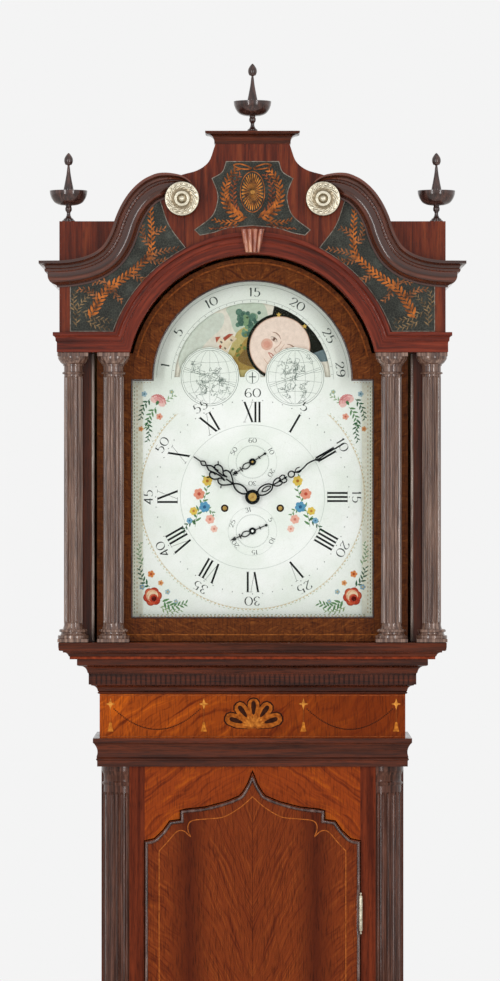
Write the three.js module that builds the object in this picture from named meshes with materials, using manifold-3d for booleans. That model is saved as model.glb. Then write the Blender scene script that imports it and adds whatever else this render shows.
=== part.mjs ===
// Longcase clock: an eight-day clock with a moon dial, a swan-neck hood and an inlaid trunk.
// Sizes are in millimetres, x to the right, y to the back, z up. The origin is on the floor
// under the middle of the clock. Angles on the dial are counted clockwise as a reader sees them.
import * as THREE from 'three';
import { mergeVertices } from 'three/addons/utils/BufferGeometryUtils.js';
import Module from 'manifold-3d';

// Fits
const gap = 0.3; // between pieces that touch
const runGap = 0.6; // between a moving piece and what it passes
const overrun = 4; // how far a cutter runs past what it cuts
const weldDistance = 0.001;

// Depth and the thickness of the boards
const depth = 300;
const backboardThickness = 12;
const boardThickness = 16;
const panelThickness = 20;

// Heights of the case, stacked from the floor
const plinthHeight = 110;
const baseHeight = 480;
const waistHeight = 50;
const trunkHeight = 739;
const trunkCorniceHeight = 41.5;
const friezeHeight = 64.3;
const throatHeight = 51.2;
const hoodBaseHeight = 25;
const columnHeight = 420;
const entablatureHeight = 29;
const blockHeight = 160.6;
const neckHeight = 130;
const finialHeight = 99.4;
const cheekRise = 126; // the cheeks that carry the seatboard, above the throat moulding

// Half widths and fronts of the case
const plinthHalfWidth = 270;
const plinthFront = 113;
const baseHalfWidth = 262;
const baseFront = 105;
const trunkHalfWidth = 221.1;
const trunkFront = 64;
const friezeProud = 1.6;
const cheekSetback = 34;
const hoodHalfWidth = 279.4;
const hoodWallInset = 17.4; // from the corner block's side to the hood's wall
const hoodFront = 121;

// Bracket feet
const footWidth = 92;
const footSideWidth = 70;
const footArchHeight = 62;
const footCurve = 34;
const plinthLipHeight = 14;
const plinthLipProud = 5;

// Mouldings: how far each stands out at its top, its band and its foot
const throatTopProud = 32;
const throatBandProud = 15.7;
const throatFootProud = 1.2;
const trunkCorniceTopProud = 9.6;
const trunkCorniceFootProud = 3.5;
const waistTopProud = 4;
const waistFootProud = 46;
const hoodBaseTopProud = 19;
const hoodBaseFootProud = 3;
const hoodBaseSetback = 17.4;
const entablatureTopProud = 9.3;
const entablatureFootProud = 3.6;
const entablatureDepth = 33;
const corniceProud = 28.7;
const corniceHeight = 37.8;

// Quarter columns, trunk door, its hinges and its lock bolt
const quarterRadius = 41.4;
const quarterShaftRadius = 38.6;
const quarterCapHeight = 27;
const quarterFootHeight = 34;
const quarterFluteDepth = 2.2;
const doorHalfWidth = 156.8;
const doorFootRise = 60; // above the waist moulding
const doorHeadroom = 8.9; // between the door's crest and the moulding above it
const doorCrest = 100; // the ogee's height above the door's shoulders
const doorThickness = 20;
const doorProud = 6;
const doorGap = 1.4;
const knuckleRadius = 2.9;
const knuckleLength = 61;
const knuckleTipLength = 6;
const hingeLeaf = 0.7;
const hingeLeafDepth = 16;
const hingeInset = 104.6; // from the door's shoulder or foot to the middle of a hinge
const boltLength = 26;
const boltHeight = 12;
const boltThickness = 5;
const boltThrow = 6;
const boltRise = 330; // above the waist moulding

// Hood door and its glass
const hoodDoorInset = 53.4; // from the corner block's side to the door's edge
const hoodDoorArchRadius = 178;
const hoodDoorThickness = 18;
const hoodDoorSetback = 43.3; // from the pediment's face
const archRadius = 181.5; // inside of the arch moulding
const sightMargin = 2.8; // how far the door's frame laps over the dial
const glassThickness = 2.4;
const glassLap = 4.5;
const glassDepth = 12; // from the door's face to the glass
const stileGap = 3.5; // beside the door's edge, which swings through an arc
const pivotPinRadius = 2.5;
const pivotPinLength = 6;

// Columns of the hood
const outerColumnInset = 19.5; // from the corner block's side to the column's axis
const innerColumnInset = 77.9;
const outerShaftRadius = 13.5;
const innerShaftRadius = 15;
const outerCapRadius = 22.2;
const innerCapRadius = 23.2;
const columnSetback = 19.5; // from the pediment's face to the columns' axes
const abacusHeight = 5;
const columnCapHeight = 27;
const columnFootHeight = 20;
const fluteDepth = 1.5;

// Dial
const dialRise = 210.5; // centre of the hands above the hood's base moulding
const archRise = 169.7; // centre of the arch above the hands
const dialHalfWidth = 177.8;
const dialFootDrop = 177.5;
const dialArchRadius = 147.2;
const dialThickness = 2.4;
const dialSetback = 79; // from the pediment's face back to the dial's face
const dialFootRadius = 4;
const dialFootSpan = 70;
const dialFootLow = 72;
const dialFootHigh = 40;
const arborHoleRadius = 6.6;
const smallHoleRadius = 2.6;
const windingHoleRadius = 5;

// Moon disc and the opening that shows it
const moonOpeningRadius = 114.4;
const humpSpan = 62.3;
const humpRadius = 44;
const middleHumpRadius = 11.6;
const humpLift = 5.5; // the humps' centres above the arch's centre
const moonDiscRadius = 115.2;
const moonDiscThickness = 1.4;
const moonDiscSetback = 3; // behind the dial
const moonHubRadius = 7;
const studRadius = 2.5;

// Pediment, cap and ornaments
const blockWidth = 34;
const neckHalfWidth = 53.7;
const neckBlockDepth = 13;
const capHeight = 18;
const capProud = 14.7;
const crestX = 116.9; // where the swan neck turns over at its crest
const neckRise = 127; // climb of the swan neck's middle line
const neckFoot = 83.6; // swan neck's middle line above the entablature
const rosetteSpan = 101.9;
const rosetteRise = 192.2; // above the entablature
const rosetteRadius = 25.3;
const rosetteThickness = 7;
const bossRadius = 24.3;
const finialRadius = 27.4;
const finialInset = 12.9; // from the corner block's side and face
const keystoneTopWidth = 34.8;
const keystoneFootWidth = 20.3;
const keystoneHeight = 34.8;
const keystoneProud = 19;
const keystoneRise = 7.5; // top of the keystone above the arch moulding
const roofDrop = 6; // below the corner blocks' tops
const roofThickness = 12;

// Hands: lengths, bosses, and the time they show in degrees past twelve
const hourHandLength = 106;
const hourHandWidth = 15;
const minuteHandLength = 156.5;
const minuteHandWidth = 14;
const smallHandLength = 35;
const smallHandTail = 24.6;
const smallHandWidth = 6.4;
const handThickness = 1.2;
const hourBossRadius = 10.9;
const minuteBossRadius = 9;
const collarRadius = 6.2;
const smallBossRadius = 4.4;
const smallArborRise = 51.3; // seconds arbor above the hands' centre
const dateArborDrop = 49.7;
const smallHandSetback = 1.6; // before the dial's face
const hourHandSetback = 6;
const minuteHandSetback = 11.3;
const hourClock = 304.5;
const minuteClock = 59.6;
const secondsClock = 236.6;
const dateClock = 246.9;

// Seatboard, plates and pillars of the movement
const seatThickness = 18;
const seatFront = 26;
const seatRear = 60;
const lineHoleRadius = 3.4;
const plateHalfWidth = 86;
const plateHeight = 191;
const plateThickness = 3;
const plateSpacing = 60; // between the plates' inner faces
const dialToPlate = 19.6;
const pillarRadius = 5;
const pillarSpan = 76;
const pillarInset = 11;

// Barrels and wheels
const barrelSpan = 40.6;
const barrelDrop = 16.4;
const drumRadius = 22;
const drumLength = 30;
const drumSetback = 25; // from the front plate's inner face
const flangeRadius = 25;
const flangeThickness = 2;
const arborRadius = 3;
const pivotRadius = 1.6;
const squareWidth = 4.6;
const wheelThickness = 2.4;
const pinionLength = 7;
const greatWheelSetback = 8;
const centreWheelSetback = 17;
const thirdWheelSetback = 42;
const escapeWheelSetback = 52;
const greatTeeth = 72;
const pinionLeaves = 6;
const centreTeeth = 45;
const thirdTeeth = 48;
const escapeTeeth = 30;
const strikeTeeth = 48;
const strikeWheelRadius = 34.5;
const centreModule = 1.1;
const thirdModule = 1;
const escapeRadius = 20;
const escapeToothDepth = 3;
const cannonRadius = 3.3;
const hourPipeRadius = 5;
const pipeWall = 1.1;

// Pallets, crutch and pendulum
const palletRise = 28; // pallet arbor above the escape arbor
const palletClearance = 1.6;
const palletReach = 15;
const palletHubRadius = 5;
const crutchLength = 96;
const crutchWidth = 6;
const crutchThickness = 3;
const forkWidth = 3;
const pendulumLength = 994;
const pendulumSetback = 28; // behind the back plate
const rodRadius = 2;
const bobRadius = 55;
const bobThickness = 20;
const springWidth = 8;
const springHeight = 60;
const springThickness = 1.2;
const springHead = 5; // of the spring above its bending line
const cockThickness = 8;
const cockWidth = 22;
const ratingNutRadius = 9;
const ratingNutHeight = 7;

// Lines, pulleys and weights
const lineRadius = 0.8;
const pulleyRadius = 27;
const pulleyThickness = 8;
const weightRadius = 32;
const weightHeight = 210;
const weightFloor = 310; // foot of a weight that has run down
const stirrupThickness = 3;
const stirrupWidth = 10;
const stirrupRise = 46; // pulley's axle above the weight's top
const axleRadius = 2.5;

// Bell and hammer
const bellRadius = 36;
const bellHeight = 26;
const bellWall = 3;
const bellRise = 12; // rim above the plates' tops
const bellSetback = 25; // bell's axis behind the front plate's face
const bellPostWidth = 8;
const hammerSpan = 60;
const hammerArborRise = 50.5; // above the hands' centre
const hammerHeadRadius = 6;
const hammerHeadLength = 12;
const hammerGap = 1.6;
const hammerThickness = 4;

// Counts
const fluteCount = 12;
const quarterFluteCount = 5;
const roundSides = 16;
const smallSides = 8;
const archSteps = 20;
const neckSteps = 18;
const lineSides = 6;
const curveSteps = 4;

// Outlines, as shares of the sizes that they follow
const doorCrestShares = [
  [1, 0], [0.909, 0.032], [0.824, 0.161], [0.767, 0.289], [0.668, 0.31], [0.668, 0.44], [0.625, 0.461],
  [0.44, 0.493], [0.254, 0.569], [0.12, 0.655], [0.084, 0.719], [0.04, 0.84], [0, 1],
];
const neckPathShares = [
  [0, 0], [0.134, 0.016], [0.267, 0.055], [0.383, 0.121], [0.478, 0.221], [0.545, 0.353], [0.585, 0.475],
  [0.616, 0.596], [0.665, 0.73], [0.727, 0.845], [0.804, 0.939], [0.893, 0.995], [1, 1], [1.07, 0.95],
];
const pedimentTopShares = [
  [0.68, 0], [0.612, 0.146], [0.577, 0.268], [0.533, 0.36], [0.48, 0.445], [0.418, 0.476], [0.361, 0.52],
  [0.281, 0.571], [0.226, 0.665], [0.2, 0.81], [0.1922, 0.866],
];
const corniceShares = [
  [0, -1], [0.08, -1], [0.08, -0.86], [0.2, -0.74], [0.42, -0.5], [0.55, -0.12], [0.55, 0.06],
  [0.74, 0.1], [0.74, 0.4], [0.84, 0.52], [0.96, 0.8], [1, 0.84], [1, 1], [0, 1],
];
const finialShares = [
  [0, 0], [0.35, 0], [0.32, 0.025], [0.16, 0.06], [0.1, 0.11], [0.17, 0.16], [0.18, 0.2], [0.165, 0.23],
  [0.46, 0.24], [0.76, 0.28], [0.92, 0.355], [1, 0.44], [0.96, 0.448], [0.6, 0.425], [0.29, 0.435],
  [0.26, 0.48], [0.19, 0.57], [0.11, 0.7], [0.066, 0.81], [0.175, 0.83], [0.235, 0.88], [0.2, 0.93],
  [0.08, 0.975], [0, 1],
];
const rosetteShares = [
  [0, 0], [0.97, 0], [1, 0.3], [0.93, 0.55], [0.76, 0.5], [0.6, 0.24], [0.5, 0.3], [0.46, 0.75],
  [0.38, 0.6], [0.26, 0.42], [0.2, 0.8], [0.1, 1], [0, 1],
];
const columnCapShares = [
  [1, 1], [1, 0.93], [0.95, 0.8], [0.84, 0.66], [0.78, 0.6], [0.78, 0.5], [0.72, 0.46], [0.72, 0.2],
  [0.8, 0.14], [0.8, 0.02], [0.7, 0],
];
const columnFootShares = [
  [0.7, 1], [0.8, 0.94], [0.8, 0.8], [0.74, 0.7], [0.78, 0.56], [0.94, 0.46], [1, 0.26], [0.96, 0],
];
const hourHandShares = [
  [-0.12, 0], [-0.06, 0.25], [0.1, 0.22], [0.16, 0.16], [0.2, 0.4], [0.27, 0.62], [0.34, 0.4], [0.4, 0.2],
  [0.46, 0.34], [0.52, 0.5], [0.6, 0.42], [0.66, 0.16], [0.71, 0.32], [0.75, 1], [0.79, 0.3], [0.86, 0.34],
  [0.92, 0.22], [1, 0],
];
const minuteHandShares = [
  [-0.1, 0], [-0.06, 0.22], [0.08, 0.2], [0.12, 0.18], [0.17, 0.6], [0.24, 0.7], [0.3, 0.3], [0.38, 0.2],
  [0.44, 0.42], [0.52, 0.5], [0.6, 0.28], [0.66, 0.2], [0.7, 1], [0.74, 0.3], [0.84, 0.22], [1, 0],
];
const smallHandShares = [
  [-1, 0], [-0.9, 0.5], [-0.78, 0.24], [-0.6, 0.9], [-0.52, 0.24], [-0.3, 0.36], [0, 0.24], [0.25, 0.5],
  [0.45, 0.4], [0.6, 0.16], [0.72, 0.2], [0.76, 1], [0.8, 0.2], [1, 0],
];

// Heights and depths that follow from the sizes above
const baseTop = plinthHeight + baseHeight;
const waistTop = baseTop + waistHeight;
const trunkTop = waistTop + trunkHeight;
const trunkCorniceTop = trunkTop + trunkCorniceHeight;
const friezeTop = trunkCorniceTop + friezeHeight;
const throatTop = friezeTop + throatHeight;
const hoodBaseTop = throatTop + hoodBaseHeight;
const columnTop = hoodBaseTop + columnHeight;
const entablatureTop = columnTop + entablatureHeight;
const blockTop = entablatureTop + blockHeight;
const capTop = blockTop + neckHeight;
const handsZ = hoodBaseTop + dialRise;
const archZ = handsZ + archRise;
const secondsZ = handsZ + smallArborRise;
const dateZ = handsZ - dateArborDrop;
const palletZ = secondsZ + palletRise;
const barrelZ = handsZ - barrelDrop;
const cheekTop = throatTop + cheekRise;
const seatTop = cheekTop + gap + seatThickness;
const plateFoot = seatTop + gap;
const plateTop = plateFoot + plateHeight;
const back = depth / 2;
const insideBack = back - backboardThickness;
const hoodFace = -hoodFront;
const trunkFace = -trunkFront;
const trunkDoorFace = trunkFace - doorProud;
const columnY = hoodFace + columnSetback;
const hoodDoorFace = hoodFace + hoodDoorSetback;
const dialFace = hoodFace + dialSetback;
const dialBack = dialFace + dialThickness;
const frontPlateFace = dialBack + dialToPlate;
const insideFrontPlate = frontPlateFace + plateThickness;
const insideBackPlate = insideFrontPlate + plateSpacing;
const backPlateRear = insideBackPlate + plateThickness;
const pendulumY = backPlateRear + pendulumSetback;
const lineOffset = drumRadius + lineRadius + gap;
const lineY = insideFrontPlate + drumSetback + drumLength / 2;
const weightTop = weightFloor + weightHeight;
const pulleyZ = weightTop + stirrupRise;
const doorFoot = waistTop + doorFootRise;
const hoodWallHalfWidth = hoodHalfWidth - hoodWallInset;
const hoodBaseHalfWidth = hoodWallHalfWidth;
const outerColumnSpan = hoodHalfWidth - outerColumnInset;
const innerColumnSpan = hoodHalfWidth - innerColumnInset;
const hoodDoorHalfWidth = hoodHalfWidth - hoodDoorInset;
const doorShoulder = trunkTop - doorHeadroom - doorCrest;

const wasm = await Module();
wasm.setup();

// Closed shapes: every helper gives a geometry that is one closed body

function signedVolume(geometry) {
  const places = geometry.getAttribute('position');
  const order = geometry.index.array;
  const corners = [new THREE.Vector3(), new THREE.Vector3(), new THREE.Vector3()];
  let total = 0;
  for (let i = 0; i < order.length; i += 3) {
    corners.forEach((corner, k) => corner.fromBufferAttribute(places, order[i + k]));
    total += corners[0].dot(corners[1].cross(corners[2]));
  }
  return total;
}

// One copy of each vertex, with the faces turned outwards.
function sealed(geometry) {
  const bare = new THREE.BufferGeometry();
  bare.setAttribute('position', geometry.getAttribute('position'));
  bare.setIndex(geometry.index);
  const merged = mergeVertices(bare, weldDistance);
  if (signedVolume(merged) < 0) {
    const order = merged.index.array;
    for (let i = 0; i < order.length; i += 3) [order[i + 1], order[i + 2]] = [order[i + 2], order[i + 1]];
  }
  return merged;
}

function solidOf(geometry) {
  const merged = sealed(geometry);
  const vertProperties = merged.getAttribute('position').array;
  const triVerts = new Uint32Array(merged.index.array);
  return new wasm.Manifold(new wasm.Mesh({ numProp: 3, vertProperties, triVerts }));
}

function geometryOf(solid) {
  const mesh = solid.getMesh();
  const geometry = new THREE.BufferGeometry();
  geometry.setAttribute('position', new THREE.BufferAttribute(new Float32Array(mesh.vertProperties), 3));
  geometry.setIndex(new THREE.BufferAttribute(new Uint32Array(mesh.triVerts), 1));
  return geometry;
}

function join(...pieces) {
  return geometryOf(pieces.map(solidOf).reduce((whole, piece) => whole.add(piece)));
}

function cut(piece, ...cutters) {
  return geometryOf(cutters.map(solidOf).reduce((whole, cutter) => whole.subtract(cutter), solidOf(piece)));
}

function box(x0, x1, y0, y1, z0, z1) {
  const geometry = new THREE.BoxGeometry(x1 - x0, y1 - y0, z1 - z0);
  geometry.translate((x0 + x1) / 2, (y0 + y1) / 2, (z0 + z1) / 2);
  return geometry;
}

function outlineShape(points) {
  return new THREE.Shape(points.map(([a, b]) => new THREE.Vector2(a, b)));
}

function circlePath(x, z, radius) {
  return new THREE.Path().absarc(x, z, radius, 0, 2 * Math.PI, false);
}

// A shape drawn in x and z, as thick as the way from one y to the other.
function slab(shape, front, rear, steps = smallSides) {
  const geometry = new THREE.ExtrudeGeometry(shape, {
    depth: rear - front, bevelEnabled: false, curveSegments: steps,
  });
  geometry.rotateX(Math.PI / 2);
  geometry.translate(0, rear, 0);
  return geometry;
}

// A shape drawn in y and z, as thick as the way from one x to the other.
function sideSlab(shape, left, right) {
  const geometry = new THREE.ExtrudeGeometry(shape, { depth: right - left, bevelEnabled: false });
  geometry.applyMatrix4(new THREE.Matrix4().set(0, 0, 1, left, 1, 0, 0, 0, 0, 1, 0, 0, 0, 0, 0, 1));
  return geometry;
}

// A shape drawn in x and y, standing from one height to the other.
function upright(shape, foot, top) {
  const geometry = new THREE.ExtrudeGeometry(shape, { depth: top - foot, bevelEnabled: false });
  geometry.translate(0, 0, foot);
  return geometry;
}

// Turned about a vertical axis from a profile of radius and height.
function turned(profile, x, y, z, sides = roundSides) {
  const geometry = new THREE.LatheGeometry(profile.map(([r, h]) => new THREE.Vector2(r, h)), sides);
  geometry.rotateX(Math.PI / 2);
  geometry.translate(x, y, z);
  return sealed(geometry);
}

// Turned about an axis from front to back, from a profile of radius and y.
function spindle(profile, x, z, sides = smallSides) {
  const geometry = new THREE.LatheGeometry(profile.map(([r, y]) => new THREE.Vector2(r, y)), sides);
  geometry.translate(x, 0, z);
  return sealed(geometry);
}

function rod(radius, x, z, front, rear, sides = smallSides) {
  return spindle([[0, front], [radius, front], [radius, rear], [0, rear]], x, z, sides);
}

// A skin over rings of equal point counts, closed at both ends by the flat outline.
function loft(rings, outline) {
  const flat = outline.map(([a, b]) => new THREE.Vector2(a, b));
  const turn = THREE.ShapeUtils.isClockWise(flat);
  const ordered = turn ? rings.map((ring) => [...ring].reverse()) : rings;
  const flatOrdered = turn ? [...flat].reverse() : flat;
  const count = outline.length;
  const order = [];
  for (let r = 0; r + 1 < rings.length; r += 1) {
    for (let k = 0; k < count; k += 1) {
      const a = r * count + k;
      const b = r * count + ((k + 1) % count);
      order.push(a, b, b + count, a, b + count, a + count);
    }
  }
  const last = (rings.length - 1) * count;
  for (const [a, b, c] of THREE.ShapeUtils.triangulateShape(flatOrdered, [])) {
    order.push(a, c, b, last + a, last + b, last + c);
  }
  const geometry = new THREE.BufferGeometry();
  geometry.setAttribute('position', new THREE.Float32BufferAttribute(ordered.flat(2), 3));
  geometry.setIndex(order);
  return sealed(geometry);
}

// A moulding mitred round the front and both sides: the profile is how proud and how high.
function wrapped(profile, halfWidth, face, foot) {
  const ring = (side, y) => profile.map(([d, h]) => [side * (halfWidth + d), y(d), foot + h]);
  const rings = [
    ring(-1, () => back), ring(-1, (d) => face - d), ring(1, (d) => face - d), ring(1, () => back),
  ];
  return loft(rings, profile);
}

// The outline moved outwards by a distance, mitred at its corners.
function grown(points, distance) {
  const area = points.reduce((sum, [x, z], i) => {
    const [nextX, nextZ] = points[(i + 1) % points.length];
    return sum + x * nextZ - nextX * z;
  }, 0);
  const way = distance * Math.sign(area);
  return points.map(([x, z], i) => {
    const [px, pz] = points[(i + points.length - 1) % points.length];
    const [nx, nz] = points[(i + 1) % points.length];
    const before = new THREE.Vector2(x - px, z - pz).normalize();
    const after = new THREE.Vector2(nx - x, nz - z).normalize();
    const middle = new THREE.Vector2(before.y + after.y, -before.x - after.x);
    const scale = (2 * way) / middle.lengthSq();
    return [x + middle.x * scale, z + middle.y * scale];
  });
}

function mirrored(points) {
  return points.map(([x, z]) => [-x, z]);
}

// Points of an arc in x and z, from one angle to the other.
function arcPoints(x, z, radius, from, to, steps) {
  return Array.from({ length: steps + 1 }, (_, i) => {
    const angle = from + ((to - from) * i) / steps;
    return [x + radius * Math.cos(angle), z + radius * Math.sin(angle)];
  });
}

function turnGeometry(geometry, x, z, clock) {
  geometry.translate(-x, 0, -z);
  geometry.rotateY(THREE.MathUtils.degToRad(clock));
  geometry.translate(x, 0, z);
  return geometry;
}

// Materials
const finish = (color, roughness, metalness) => ({ color, roughness, metalness, flatShading: true });
const mahogany = finish(0x4a2015, 0.35, 0);
const flameMahogany = finish(0x7a3416, 0.3, 0);
const darkMahogany = finish(0x33201a, 0.3, 0);
const pine = finish(0x8a6a44, 0.8, 0);
const brass = finish(0xb9a062, 0.35, 1);
const paleBrass = finish(0xd2c69a, 0.4, 1);
const steel = finish(0x9a9a98, 0.35, 1);
const bluedSteel = finish(0x14161a, 0.35, 0.8);
const paintedIron = finish(0xe6eee8, 0.4, 0);
const castIron = finish(0x2f2f30, 0.6, 0.6);
const glass = finish(0xffffff, 0.05, 0);
const gut = finish(0xc9a878, 0.6, 0);

const clock = new THREE.Group();

function add(name, geometry, material) {
  const shown = (geometry.index ? geometry.toNonIndexed() : geometry);
  shown.computeVertexNormals();
  const mesh = new THREE.Mesh(shown, new THREE.MeshStandardMaterial(material));
  mesh.name = name;
  clock.add(mesh);
}

function addPair(name, make, material) {
  add(`${name}_left`, make(-1), material);
  add(`${name}_right`, make(1), material);
}

// Fluted circle: lands and hollows round a column, over the given turn.
function flutedArc(radius, hollow, from, to, flutes) {
  const pitch = (to - from) / flutes;
  const landShares = [0.14, 0.34, 0.66, 0.86];
  return Array.from({ length: flutes }, (_, i) => landShares.map((share, k) => {
    const angle = from + pitch * (i + share);
    const r = k === 1 || k === 2 ? radius - hollow : radius;
    return [r * Math.cos(angle), r * Math.sin(angle)];
  })).flat();
}

// Case: base, trunk and the boards behind

function backboard() {
  const trunkEdge = trunkHalfWidth - boardThickness - gap;
  const earEdge = hoodHalfWidth - entablatureDepth - gap - runGap;
  const baseEdge = baseHalfWidth - boardThickness - gap;
  const half = [
    [baseEdge, plinthHeight + gap], [baseEdge, baseTop - gap], [trunkEdge, baseTop - gap],
    [trunkEdge, throatTop + gap], [earEdge - runGap, throatTop + gap],
    [earEdge - runGap, blockTop - roofDrop
    - roofThickness - runGap],
  ];
  return slab(outlineShape([...half, ...mirrored(half).reverse()]), insideBack, back);
}

function baseCase() {
  const profile = [
    [-boardThickness, 0], [0, 0], [0, baseHeight - gap], [-boardThickness, baseHeight - gap],
  ];
  return wrapped(profile, baseHalfWidth, -baseFront, plinthHeight);
}

// A bracket foot's opening, drawn along the floor from one foot's edge to the other's.
function footArch(left, right) {
  const foot = -overrun;
  const side = (x, way) => [
    [x, foot], [x, footArchHeight - footCurve], [x + (way * footCurve) / 3, footArchHeight - footCurve / 3],
    [x + way * footCurve, footArchHeight],
  ];
  return outlineShape([...side(left, 1), ...side(right, -1).reverse()]);
}

function plinth() {
  const lipFoot = plinthHeight - plinthLipHeight;
  const top = plinthHeight - gap;
  const profile = [
    [-boardThickness, 0], [0, 0], [0, lipFoot], [plinthLipProud, lipFoot + plinthLipProud],
    [plinthLipProud, top - plinthLipProud / 2], [plinthLipProud / 2, top], [-boardThickness, top],
  ];
  const skirt = wrapped(profile, plinthHalfWidth, -plinthFront, 0);
  const feetX = plinthHalfWidth - footWidth;
  const frontArch = slab(
    footArch(-feetX, feetX), -plinthFront - overrun, -plinthFront + boardThickness + overrun
  );
  const sideArch = sideSlab(
    footArch(-plinthFront + footSideWidth, back - footSideWidth),
    -plinthHalfWidth - overrun,
    plinthHalfWidth + overrun,
  );
  return cut(skirt, frontArch, sideArch);
}

function baseMoulding() {
  const shares = [
    [0, 0], [1, 0], [1, 0.16], [0.94, 0.2], [0.94, 0.3], [0.7, 0.36], [0.46, 0.52], [0.3, 0.76],
    [0.26, 0.84]
  ];
  const profile = shares.map(([d, h]) => [d * waistFootProud, h * waistHeight]);
  profile.push([waistTopProud * 2, waistHeight - waistTopProud], [waistTopProud, waistHeight - gap]);
  profile.push([0, waistHeight - gap]);
  return wrapped(profile, trunkHalfWidth + gap, trunkFace - gap, baseTop);
}

function trunkSide(side) {
  const quarterRear = trunkFace + quarterRadius + gap;
  const friezeRear = trunkFace - friezeProud + panelThickness + gap;
  const cheekFront = trunkFace + cheekSetback;
  const foot = baseTop - waistHeight;
  const outline = [
    [quarterRear, foot], [insideBack - gap, foot], [insideBack - gap, baseTop], [back, baseTop],
    [back, throatTop], [insideBack - gap, throatTop], [insideBack - gap, cheekTop],
    [cheekFront, cheekTop], [cheekFront, friezeTop], [friezeRear, friezeTop],
    [friezeRear, trunkTop], [quarterRear, trunkTop],
  ];
  const inner = trunkHalfWidth - boardThickness;
  const [left, right] = side < 0 ? [-trunkHalfWidth, -inner] : [inner, trunkHalfWidth];
  return sideSlab(outlineShape(outline), left, right);
}

// The trunk door's outline, clockwise from its lower right corner.
function trunkDoorOutline() {
  const crest = doorCrestShares.map(([u, v]) => [u * doorHalfWidth, doorShoulder + v * doorCrest]);
  const half = [[doorHalfWidth, doorFoot], ...crest];
  return [...half, ...mirrored(half.slice(0, -1)).reverse()];
}

function trunkFrontFrame() {
  const edge = trunkHalfWidth - quarterRadius - gap;
  const foot = baseTop - waistHeight;
  const frame = outlineShape(
    [[-edge, foot], [edge, foot], [edge, trunkTop - gap], [-edge, trunkTop - gap]]
  );
  frame.holes.push(outlineShape(grown(trunkDoorOutline(), doorGap)));
  const boltZ = waistTop + boltRise;
  const boltY = trunkDoorFace + doorThickness / 2;
  const mortise = box(
    -doorHalfWidth - doorGap - boltThrow - runGap, -doorHalfWidth,
    boltY - boltThickness / 2 - gap, boltY + boltThickness / 2 + gap,
    boltZ - boltHeight / 2 - gap, boltZ + boltHeight / 2 + gap,
  );
  return cut(slab(frame, trunkFace, trunkFace + panelThickness), mortise);
}

function trunkDoor() {
  const door = slab(outlineShape(trunkDoorOutline()), trunkDoorFace, trunkDoorFace + doorThickness);
  const boltZ = waistTop + boltRise;
  const boltY = trunkDoorFace + doorThickness / 2;
  const slot = box(
    -doorHalfWidth - overrun, -doorHalfWidth + gap + boltLength + runGap,
    boltY - boltThickness / 2 - gap, boltY + boltThickness / 2 + gap,
    boltZ - boltHeight / 2 - gap, boltZ + boltHeight / 2 + gap,
  );
  return cut(door, slot);
}

function trunkLockBolt() {
  const boltZ = waistTop + boltRise;
  const boltY = trunkDoorFace + doorThickness / 2;
  return box(
    -doorHalfWidth + gap, -doorHalfWidth + gap + boltLength,
    boltY - boltThickness / 2, boltY + boltThickness / 2,
    boltZ - boltHeight / 2, boltZ + boltHeight / 2,
  );
}

// A butt hinge: the knuckle stands before the door's edge and its leaf lies between door and frame.
function trunkHinge(middle) {
  const x = doorHalfWidth + gap + (doorGap - hingeLeaf) / 2;
  const y = trunkDoorFace - knuckleRadius - gap;
  const half = knuckleLength / 2 - knuckleTipLength;
  const tip = knuckleTipLength;
  const r = knuckleRadius;
  const upper = [
    [r, half], [r / 2, half + tip / 6], [r * 0.9, half + tip / 2], [r / 2, half + tip], [0, half + tip]
  ];
  const lower = upper.map(([a, h]) => [a, -h]).reverse();
  const leaf = box(
    x - hingeLeaf / 2, x + hingeLeaf / 2, y, y + knuckleRadius + hingeLeafDepth, middle - half,
    middle + half
  );
  return join(turned([...lower, ...upper], x, y, middle, smallSides), leaf);
}

function quarterColumn(side) {
  const x = trunkHalfWidth - quarterRadius;
  const y = trunkFace + quarterRadius;
  const foot = waistTop + gap;
  const top = trunkTop - gap;
  const shaftFoot = foot + quarterFootHeight;
  const shaftTop = top - quarterCapHeight;
  const plain = quarterRadius - gap;
  const shaft = quarterShaftRadius;
  const ringHeight = quarterCapHeight / 4;
  const levels = [
    [foot, plain, 0], [shaftFoot - ringHeight, plain, 0], [shaftFoot, shaft, 0],
    [shaftFoot + ringHeight, shaft, quarterFluteDepth], [shaftTop - ringHeight, shaft, quarterFluteDepth],
    [shaftTop, shaft, 0], [shaftTop, plain, 0], [shaftTop + ringHeight, plain, 0],
    [shaftTop + ringHeight, shaft, 0], [top - ringHeight, shaft, 0], [top - ringHeight / 2, plain, 0],
    [top, plain, 0],
  ];
  const section = (radius, hollow) => [
    [0, 0], [0, -radius], ...flutedArc(radius, hollow, -Math.PI / 2, 0, quarterFluteCount), [radius, 0],
  ];
  const rings = levels.map(([z, radius, hollow], i) => {
    const lift = i > 0 && levels[i - 1][0] === z ? gap : 0;
    return section(radius, hollow).map(([a, b]) => [side * (x + a), y + b, z + lift]);
  });
  return loft(rings, section(plain, 0));
}

function trunkFrieze() {
  const edge = trunkHalfWidth + friezeProud;
  const front = trunkFace - friezeProud;
  return box(-edge, edge, front, front + panelThickness, trunkTop, friezeTop - gap);
}

function trunkCornice() {
  const top = trunkCorniceTopProud;
  const foot = trunkCorniceFootProud;
  const h = trunkCorniceHeight;
  const profile = [
    [gap, 0], [foot, 0], [foot, h * 0.3], [foot + (top - foot) * 0.5, h * 0.36],
    [foot + (top - foot) * 0.5, h * 0.62],
    [foot + (top - foot) * 0.8, h * 0.72], [top, h * 0.86], [top, h - gap], [gap, h - gap],
  ];
  return wrapped(profile, trunkHalfWidth + friezeProud, trunkFace - friezeProud, trunkTop);
}

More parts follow.
